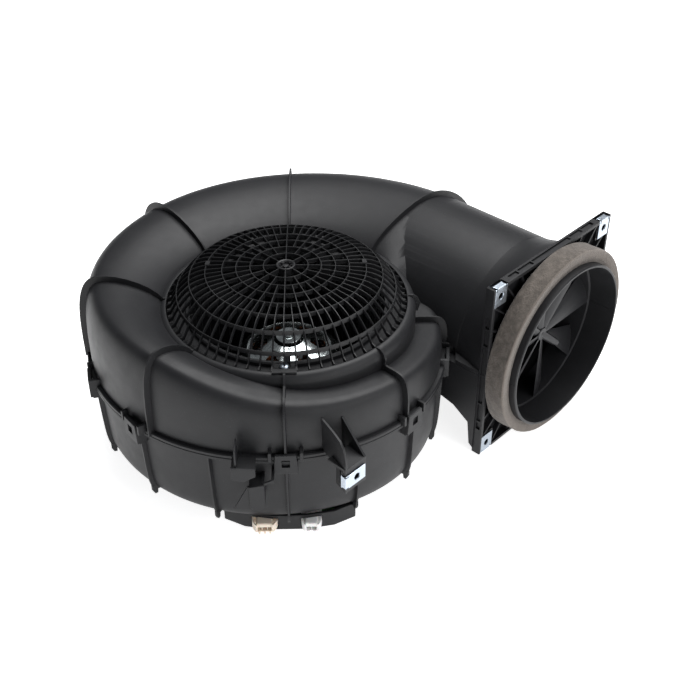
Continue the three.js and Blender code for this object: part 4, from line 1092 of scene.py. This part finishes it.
class BLOWER_OT_stage(Operator):
    """Makes the pale floor, the soft studio lights and the camera"""

    bl_idname = "blower.stage"
    bl_label = "Stage"

    def execute(self, context):
        scene = context.scene
        scene.view_settings.view_transform = "Standard"
        world = scene.world or bpy.data.worlds.new("studio")
        scene.world = world
        world.use_nodes = True
        colour_in, strength_in = world.node_tree.nodes["Background"].inputs[:2]
        colour_in.default_value, strength_in.default_value = (0.93, 0.95, 1.0, 1), 0.17
        corners = FLOOR_HALF * np.array([(-1, -1, 0), (1, -1, 0), (1, 1, 0), (-1, 1, 0)]) - (0, 0, 0.4)
        floor = as_object((corners, [[0, 1, 2, 3]]), "floor")
        f = Finish("pale_floor", Roughness=0.9, Specular_IOR_Level=0.1, Emission_Strength=0.84)
        paper = f.spots(400, 2)
        f.set("Base Color", f.mix(paper, (0.86, 0.86, 0.86), (0.9, 0.9, 0.9)))
        f.set("Emission Color", f.mix(paper, (0.98, 0.98, 0.98), (1, 1, 1)))
        floor.data.materials.append(f.material)
        for name, spot, aim, size, power in LAMPS:
            light = bpy.data.lights.new(name, "AREA")
            light.shape, light.size, light.energy = "SQUARE", size, power
            lamp = bpy.data.objects.new(name, light)
            lamp.location = spot
            lamp.rotation_euler = (Vector(aim) - Vector(spot)).to_track_quat("-Z", "Y").to_euler()
            scene.collection.objects.link(lamp)
        lens = bpy.data.cameras.new("camera")
        lens.lens, lens.sensor_width, lens.clip_end = CAMERA_LENS, 36.0, 100.0
        camera = bpy.data.objects.new("camera", lens)
        camera.location = CAMERA_PLACE
        camera.rotation_euler = Euler((math.radians(90 - CAMERA_DOWN), 0, -math.radians(CAMERA_RIGHT)))
        scene.collection.objects.link(camera)
        scene.camera = camera
        return {"FINISHED"}


class BLOWER_OT_housing(Operator):
    """Makes the two halves of the spiral housing"""

    bl_idname = "blower.housing"
    bl_label = "Housing shells"

    def execute(self, context):
        sizes = context.scene.blower_housing
        wall, columns = sizes.wall / MM, sizes.columns
        thick, fin = sizes.rib_thickness / MM, sizes.fin_height / MM
        blank = joined(spiral_body(0, columns), spiral_lip(columns), deck(columns), duct(), duct_flare(),
                       flange(), *gussets(), *duct_lips())
        under_deck = turned([(0, 60), (COLLAR_RADIUS - wall, 60), (COLLAR_RADIUS - wall, DECK_Z - wall),
                             (0, DECK_Z - wall)], columns)
        hollow = joined(spiral_body(-wall, columns), under_deck, duct_hollow())
        rooms = [("DIFFERENCE", room) for room in fixing_rooms()]
        upper = self.upper(blank, hollow, rooms, upper_fins(fin, thick), columns)
        finished("upper_shell_skin", upper, "upper_shell", "black_plastic")
        lower = self.lower(blank, hollow, rooms, lower_ribs(thick), columns)
        finished("lower_shell_skin", lower, "lower_shell", "black_plastic")
        return {"FINISHED"}

    def upper(self, blank, hollow, rooms, fins, columns):
        """The upper half: fins, the inlet's hole, the screw's boss, the bracket, a hook and the lugs."""
        at_screw = shift(0, SCREW_Y, 0)
        above = box((-400, 400), (-400, 400), (AXIS_Z + PART, 400))
        half = worked(blank, *[("UNION", f) for f in fins], ("DIFFERENCE", hollow),
                      ("DIFFERENCE", rod(80, 100, 150, columns)), *rooms, ("INTERSECT", above),
                      ("DIFFERENCE", placed(rod(1.9, DECK_Z - 10, DECK_Z + 10), at_screw)))
        low, high = DECK_Z - 6, DECK_Z - 0.01
        boss = turned([(1.95, low), (4.5, low), (4.5, high), (1.95, high)], 64)
        half = joined(half, placed(boss, at_screw), cut(side_bracket(), hollow), upper_hook(),
                      *[lug for angle in CLIP_ANGLES for lug in lugs(angle)])
        return cut(half, *[clip_room(angle) for angle in CLIP_ANGLES])

    def lower(self, blank, hollow, rooms, ribs, columns):
        """The lower half: ribs, corner web, bosses for the motor and the cover, a hook, the tongues."""
        below = box((-400, 400), (-400, 400), (-50, AXIS_Z - PART))
        half = worked(blank, *[("UNION", r) for r in ribs], ("UNION", corner_web()),
                      ("DIFFERENCE", hollow), ("DIFFERENCE", rod(47, 0, 40, columns)), *rooms,
                      ("INTERSECT", below))
        bosses, holes = [], [placed(rod(4, 0, 30), shift(0, -84, 0))]
        for angle in MOTOR_ANGLES:
            place = turn("Z", angle) @ shift(MOTOR_SCREW_CIRCLE, 0, 0)
            bosses.append(placed(rod(5, FLOOR_Z + 1, 23), place))
            holes.append(placed(rod(2.3, 0, 22), place))
        for x, y in COVER_SCREWS:
            bosses.append(placed(rod(4, FLOOR_Z + 1, 27), shift(x, y, 0)))
            holes.append(placed(rod(1.9, 0, 26), shift(x, y, 0)))
        half = joined(half, *bosses, lower_hook(), *[snap_tongue(angle) for angle in CLIP_ANGLES])
        return cut(half, *holes)


class BLOWER_OT_grille(Operator):
    """Makes the domed inlet grille and the screw in its tab"""

    bl_idname = "blower.grille"
    bl_label = "Inlet grille"

    def execute(self, context):
        sizes = context.scene.blower_grille
        bars = grille_bars(sizes.top / MM, sizes.bar / MM, sizes.bar_depth / MM)
        finished("inlet_grille_bars", bars, "inlet_grille", "black_plastic", "grille")
        screw = moved(pan_screw(SCREW_SEAT, DECK_Z - 5, 1.6, 3.8), shift(0, SCREW_Y, 0))
        finished("grille_screw_turned", screw, "grille_screw", "zinc_steel")
        return {"FINISHED"}


class BLOWER_OT_outlet(Operator):
    """Makes the foam ring, the fixed vanes and the five spring nuts of the outlet"""

    bl_idname = "blower.outlet"
    bl_label = "Outlet"

    def execute(self, context):
        sizes = context.scene.blower_outlet
        ring = foam_ring(sizes.foam_radius / MM)
        foam = finished("sealing_foam_ring", ring, "outlet_gasket", "foam", sharp=60)
        vanes = moved(vane_ring(sizes.vane_pitch, sizes.vanes), DUCT @ LAY)
        finished("guide_vane_ring", vanes, "guide_vanes", "black_plastic", "vane")
        for name, across, up in CORNERS:
            nut = moved(spring_nut(7.9, 3.2), corner_place(across, up) @ shift(PAD_FRONT + GAP, 0, 0))
            finished("spring_nut_" + name, nut, "flange_nut_" + name, "zinc_steel")
        nut = moved(spring_nut(11.3, 3.0, 6.4), OUTLET @ shift(PAD_FRONT + GAP, *SIDE_FIXING) @ turn("X", 90))
        finished("spring_nut_bracket", nut, "bracket_nut", "zinc_steel")
        return {"FINISHED"}


class BLOWER_OT_motor(Operator):
    """Makes the rotor bell, the fan wheel and the plate under the motor"""

    bl_idname = "blower.motor"
    bl_label = "Motor and wheel"

    def execute(self, context):
        sizes = context.scene.blower_motor
        finished("rotor_bell_drawn", bell(sizes.bell_radius / MM), "rotor_bell", "bell_steel")
        blades = wheel(sizes.wheel_radius / MM, sizes.blades)
        finished("fan_wheel", blades, "impeller", "black_plastic", "wheel")
        finished("motor_pan", motor_pan(), "motor_base", "bell_steel")
        return {"FINISHED"}


class BLOWER_OT_terminals(Operator):
    """Makes the terminal box and its two plug sockets"""

    bl_idname = "blower.terminals"
    bl_label = "Terminal box"

    def execute(self, context):
        finished("terminal_box", terminal_box(), "terminal_cover", "black_plastic")
        for name, *sizes in SOCKETS:
            finished("plug_socket_" + name, plug_socket(*sizes), name + "_socket", name + "_nylon")
        return {"FINISHED"}


class BLOWER_OT_finishes(Operator):
    """Gives every piece that is shown as the frame has it a finish from its own slot"""

    bl_idname = "blower.finishes"
    bl_label = "Finishes"

    def execute(self, context):
        for name, piece in frame["nodes"].items():
            if piece.hide_render:
                continue
            finish = look(SLOT_OF[name.rstrip("_0123456789")])
            if not piece.material_slots:
                piece.data.materials.append(finish)
            for slot in piece.material_slots:
                slot.material = finish
        return {"FINISHED"}


# ---------------------------------------------------------------- add-on
GROUPS = {"blower_housing": BlowerHousingSizes, "blower_grille": BlowerGrilleSizes,
          "blower_outlet": BlowerOutletSizes, "blower_motor": BlowerMotorSizes,
          "blower_colours": BlowerColours}
STEPS = (BLOWER_OT_stage, BLOWER_OT_housing, BLOWER_OT_grille, BLOWER_OT_outlet, BLOWER_OT_motor,
         BLOWER_OT_terminals, BLOWER_OT_finishes)


class BLOWER_PT_panel(Panel):
    """Sizes, colours and the making of each piece"""

    bl_idname = "BLOWER_PT_panel"
    bl_label = "Blower"
    bl_space_type = "VIEW_3D"
    bl_region_type = "UI"
    bl_category = "Blower"

    def draw(self, context):
        for key, group in GROUPS.items():
            column = self.layout.column(align=True)
            for size in group.__annotations__:
                column.prop(getattr(context.scene, key), size)
        for step in STEPS:
            self.layout.operator(step.bl_idname)


def register():
    for made in (*GROUPS.values(), *STEPS, BLOWER_PT_panel):
        bpy.utils.register_class(made)
    for key, group in GROUPS.items():
        setattr(bpy.types.Scene, key, PointerProperty(type=group))


def unregister():
    for key in GROUPS:
        delattr(bpy.types.Scene, key)
    for made in (BLOWER_PT_panel, *reversed(STEPS), *GROUPS.values()):
        bpy.utils.unregister_class(made)


def main():
    register()
    for step in STEPS:
        group, name = step.bl_idname.split(".")
        getattr(getattr(bpy.ops, group), name)()


if __name__ == "__main__":
    main()
